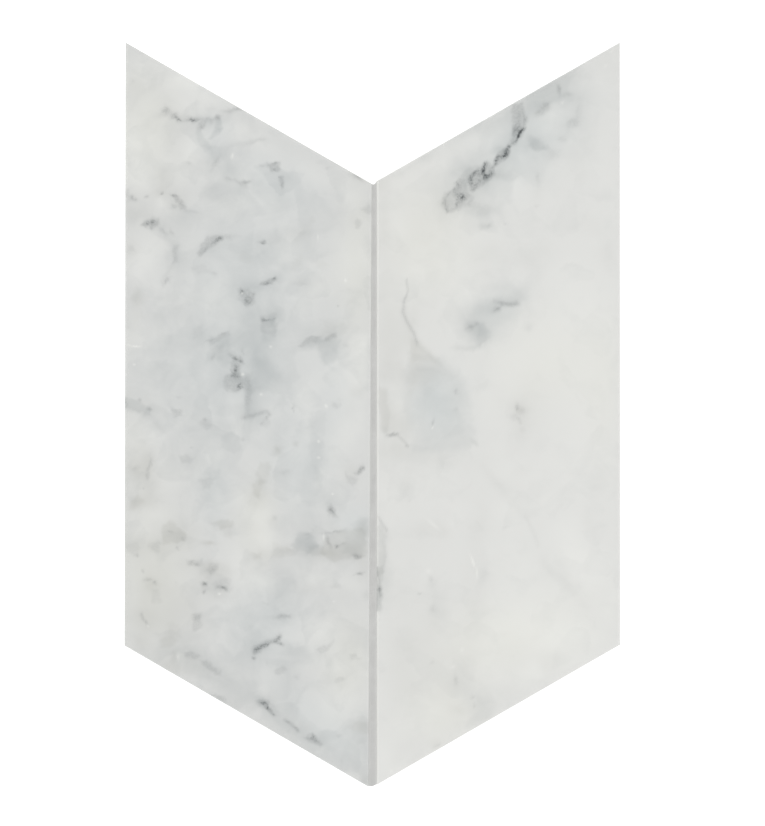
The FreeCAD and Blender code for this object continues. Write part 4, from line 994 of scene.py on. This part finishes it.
def marble(tile):
    looks = marbleLooks
    material, start = newMaterial(tile["slot"])
    point = start.place()
    sideways, lengthways, height = (
        start.node("ShaderNodeSeparateXYZ", {}, {0: point}, axis) for axis in "XYZ")
    vein, cool, olive, pale, speck, straw, steel = (
        start.field(name) for name in ("vein", "cool", "olive", "pale", "speck", "straw", "steel"))

    # the mottling leans with the veins as it goes down through the slab
    depth = faceTop / mm - height
    leanX, leanY = looks["lean"]
    lean = start.node("ShaderNodeCombineXYZ", {}, {"X": depth * leanX, "Y": depth * leanY})
    bed = start.vector("ADD", point, lean)
    drifted = bed.shaken(*looks["cellSway"]).shaken(*looks["cellStir"])

    # clouds and mottling
    clouds = bed.noise(*looks["clouds"])
    crumbs = bed.noise(*looks["crumbs"])
    warmth = bed.noise(*looks["warmth"])
    voronoi = {"Vector": drifted, "Scale": looks["cellScale"], "Smoothness": looks["cellBlend"]}
    cells = start.node("ShaderNodeTexVoronoi", {"feature": "SMOOTH_F1"}, voronoi, "Color")
    patch = start.vector("DOT_PRODUCT", cells, (1, 0, 0), out="Value")
    mottle = looks["cloudShare"] * (clouds - 0.5) + looks["crumbShare"] * (crumbs - 0.5)
    mottle = tile["mottle"] * (mottle + looks["cellShare"] * (patch - 0.5))

    stone = start.mix(straw, tile["ground"], looks["straw"]).toward(looks["steel"], steel)
    stone = stone.toward(looks["pale"], pale - mottle)
    stone = stone.toward(looks["cool"], cool + mottle)
    stone = stone.toward(looks["olive"], olive + looks["warmthShare"] * (warmth - 0.5))

    # flecks: a grey haze, and soot where the haze is thick and the grain lets it through
    grain = bed.noise(*looks["grain"])
    ridge = bed.noise(*looks["ridge"]) - 0.5
    veinlet = abs(ridge).eased(*looks["veinletBand"])

    def fleck(even, byGrain, byVeinlet):
        return vein * (even + byGrain * grain + byVeinlet * veinlet)

    soot = fleck(*looks["sootMix"]).eased(*looks["sootBand"])
    stone = stone.toward(looks["haze"], fleck(*looks["hazeMix"]))
    stone = stone.toward(looks["soot"], soot * looks["sootShare"])
    stone = stone.toward(looks["pale"], speck)

    # the eased arris along the joint is painted paler: a painted highlight where the bevel catches the
    # light
    tipSide = tile["jointAtTip"]
    widen = (tile["jointAtNotch"] - tipSide) / (tileLong / mm)
    fromJoint = tile["side"] * sideways - (tipSide + widen * (lengthways - rightLow.y / mm))
    polished = height.eased(faceTop / mm - looks["polishFoot"], faceTop / mm - looks["polishTop"])
    paintedHighlight = (1 - fromJoint.eased(*looks["highlightBand"])) * polished
    paintedHighlight = paintedHighlight * tile["arrisHighlight"] * (1 - cool.eased(*looks["highlightGap"]))
    stone = stone.toward(looks["pale"], paintedHighlight)

    # sawn sides and back are dusty and streaked by the saw
    stone = stone.toward(looks["sawn"], (1 - polished) * looks["dust"])
    sawLines = start.vector("MULTIPLY", point, looks["sideSaw"]).noise(1.0, 3)
    backLines = start.vector("MULTIPLY", point, looks["backSaw"]).noise(1.0, 4)
    streaks = sawLines + (1 - height.eased(*looks["backBand"])) * (backLines - sawLines)
    kerfs = (1 - polished) * streaks.eased(*looks["kerfBand"]) * looks["kerfShare"]
    stone = stone.toward(looks["kerf"], kerfs)

    roughness = looks["sawnRough"] + (looks["polishedRough"] - looks["sawnRough"]) * polished
    roughness = roughness + looks["crumbRough"] * (crumbs - 0.5) + looks["sootRough"] * soot
    relief = (1 - polished) * looks["streakBump"] * streaks
    relief = relief + looks["sootBump"] * soot + looks["grainBump"] * grain
    plugs = {"Strength": looks["bumpStrength"], "Distance": looks["bump"], "Height": relief}
    normal = start.node("ShaderNodeBump", {}, plugs)
    finishMaterial(start, stone, roughness, normal)
    print(f"{tile['slot']}: {len(material.node_tree.nodes)} shader nodes")
    return material


def layTile(tile):
    piece, points = tileShell(tile)
    storeStone(piece, points, tile)
    piece.data.materials.append(marble(tile))
    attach(piece, "root")
    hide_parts(tile["node"])


layTile(leftTile)
layTile(rightTile)


# Grouted joint

grout = dict(
    acrossSteps=24, alongSteps=352, gather=4, wallRows=3,
    hollow=0.4 * mm,        # dip of the tooled middle
    bow=0.35 * mm,          # bow of each end across the joint
    sand=0.05 * mm,         # height of the sand grains
    grainSeed=5,
    # the pale colour serves both the sand dots and the painted light beside the tiles
    ground=tint(213.5, 213.7, 212), shade=tint(190, 190, 188), paleSandAndEdgeLight=tint(230, 230, 228),
    cloudScale=0.16, sandScale=2.6, dotScale=5.0,   # noise for each mm
    dotBand=(0.6, 0.75), sandBand=(0.55, 0.75), edgeLightBand=(0.3, 1),
    dotShare=0.5, sandShare=0.5, edgeLightShare=0.45,    # how much dots, sand and the painted light beside the tiles tint it
    rough=0.86, sandRough=0.1, gloss=0.3,
    bump=0.06 * mm, bumpStrength=0.7, dotBump=0.4,
)


def groutShell():
    # s runs -1 to 1 between the tiles and t runs 0 to 1 from the tip to the notch; the top is a hollow,
    # edge - hollow * (1 - s squared), shallower by the square of the width where the joint is narrow,
    # with sand grains on it, and the ends bow by bow * (1 - s squared), inwards at the notch
    across = np.linspace(-1, 1, grout["acrossSteps"] + 1)
    along = np.linspace(0, 1, grout["alongSteps"] + 1)
    s, t = np.meshgrid(across, along)
    leftEdge, rightEdge = jointSide(leftTile, t), jointSide(rightTile, t)
    wide = rightEdge + leftEdge
    x = (rightEdge - leftEdge) / 2 + s * wide / 2
    rightward = (1 + s) ** 2 / 4

    def lift(end):
        return mm * (leftTile[end][0] * (1 - rightward) + rightTile[end][0] * rightward)

    tip = groutLow.y + grout["bow"] * s**2 + lift("tipLift")
    notch = groutHigh.y - grout["bow"] * (1 - s**2) + lift("notchLift")
    y = tip * (1 - t) + notch * t
    grains = np.random.default_rng(grout["grainSeed"]).random(s.shape)
    grains = (grains + np.roll(grains, 1, 0) + np.roll(grains, 1, 1) + np.roll(grains, -1, 0)) / 4
    hollow = grout["hollow"] * (wide / wide.max()) ** 2
    z = groutHigh.z - hollow * (1 - s**2) - grout["sand"] * grains
    top = np.stack([x, y, z], -1)
    strip, points = closedShell("grout_strip", top, 0, grout["wallRows"], grout["gather"], False)
    # across is 0 along the middle of the joint and 1 beside the tiles, on the walls and on the back
    fromMiddle = np.ones(len(points))
    fromMiddle[:s.size] = np.abs(s).ravel()
    field = strip.data.attributes.new("across", "FLOAT", "POINT")
    field.data.foreach_set("value", fromMiddle)
    return strip


def groutMaterial():
    material, start = newMaterial("grout")
    point = start.place()
    cloud = point.noise(grout["cloudScale"], 4)
    sand = point.noise(grout["sandScale"], 3, 0.65)
    dots = point.noise(grout["dotScale"], 2)
    colour = start.mix(cloud, grout["shade"], grout["ground"])
    # painted light: the grout is painted paler beside the tiles, against the shade of its hollow
    edge = start.field("across").eased(*grout["edgeLightBand"])
    colour = colour.toward(grout["paleSandAndEdgeLight"], dots.eased(*grout["dotBand"]) * grout["dotShare"])
    colour = colour.toward(grout["shade"], sand.eased(*grout["sandBand"]) * grout["sandShare"])
    colour = colour.toward(grout["paleSandAndEdgeLight"], edge * grout["edgeLightShare"])
    roughness = grout["rough"] + grout["sandRough"] * (sand - 0.5)
    relief = sand + grout["dotBump"] * dots
    plugs = {"Strength": grout["bumpStrength"], "Distance": grout["bump"], "Height": relief}
    normal = start.node("ShaderNodeBump", {}, plugs)
    finishMaterial(start, colour, roughness, normal, grout["gloss"])
    print(f"grout: {len(material.node_tree.nodes)} shader nodes")
    return material


strip = groutShell()
strip.data.materials.append(groutMaterial())
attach(strip, "root")
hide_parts("grout_joint")


# Studio

studio = dict(
    floorHalf=4.0, floorColour=(0.8, 0.8, 0.8, 1.0), floorRough=0.9, floorGlow=0.55,
    floorInset=2 * mm,      # how far in from the tiles' edges the floor's opening begins
    floorGap=0.1 * mm,      # how far the floor lies below the sawn back
    world=0.7,
    keyWatts=8.0, keyPlace=(-1.1, 0.6, 1.5), keySize=1.3,
    fillWatts=7.0, fillPlace=(1.1, -0.5, 1.5), fillSize=1.3,
    lens=150.0, sensor=36.0,
    imageHigh=826, mmEachPixel=0.4094,
    centreRight=10.2, centreUp=1.7,   # the picture's middle from the chevron's middle, in pixels
)


def softbox(name, place, size, watts):
    lamp = bpy.data.lights.new(name, "AREA")
    lamp.energy = watts
    lamp.size = size
    box = bpy.data.objects.new(name, lamp)
    box.location = place
    box.rotation_euler = (-box.location).to_track_quat("-Z", "Y").to_euler()
    box.visible_camera = False
    bpy.context.scene.collection.objects.link(box)


def paleFloor():
    # a square around an opening that the stone covers, so that the back shows from below
    half, inset = studio["floorHalf"], studio["floorInset"]
    wide, far = rightHigh.x - inset, rightHigh.y - inset
    rise = wide * mitreSlope
    low, high = inset - far, far - inset
    opening = [
        (0, low), (wide, low + rise), (wide, high),
        (0, high - rise), (-wide, high), (-wide, low + rise),
    ]
    square = [(-half, -half), (half, -half), (half, half), (-half, half)]
    corners = [(x, y, -studio["floorGap"]) for x, y in square + opening]
    sides = [(0, 1, 5, 4, 9), (1, 2, 6, 5), (2, 3, 8, 7, 6), (3, 0, 9, 8)]
    mesh = bpy.data.meshes.new("floor")
    mesh.from_pydata(corners, [], sides)
    floor = bpy.data.objects.new("floor", mesh)
    bpy.context.scene.collection.objects.link(floor)
    material, start = newMaterial("pale_floor")
    plugs = {
        "Base Color": studio["floorColour"], "Roughness": studio["floorRough"], "Specular IOR Level": 0.0,
        "Emission Color": (1, 1, 1, 1), "Emission Strength": studio["floorGlow"],
    }
    skin = start.node("ShaderNodeBsdfPrincipled", {}, plugs)
    start.node("ShaderNodeOutputMaterial", {}, {"Surface": skin})
    mesh.materials.append(material)


def whiteWorld():
    world = bpy.data.worlds.new("white_room")
    world.use_nodes = True
    background = world.node_tree.nodes["Background"]
    background.inputs["Color"].default_value = (1, 1, 1, 1)
    background.inputs["Strength"].default_value = studio["world"]
    bpy.context.scene.world = world
    bpy.context.scene.view_settings.view_transform = "Standard"


def overheadCamera():
    eye = bpy.data.cameras.new("overhead")
    eye.lens = studio["lens"]
    eye.sensor_width = studio["sensor"]
    camera = bpy.data.objects.new("overhead", eye)
    # the sensor spans the picture's longer side, which is its height
    pixel = studio["mmEachPixel"] * mm
    above = studio["imageHigh"] * pixel * studio["lens"] / studio["sensor"]
    camera.location = (studio["centreRight"] * pixel, studio["centreUp"] * pixel, faceTop + above)
    bpy.context.scene.collection.objects.link(camera)
    bpy.context.scene.camera = camera


paleFloor()
whiteWorld()
softbox("key", studio["keyPlace"], studio["keySize"], studio["keyWatts"])
softbox("fill", studio["fillPlace"], studio["fillSize"], studio["fillWatts"])
overheadCamera()
print("studio set")
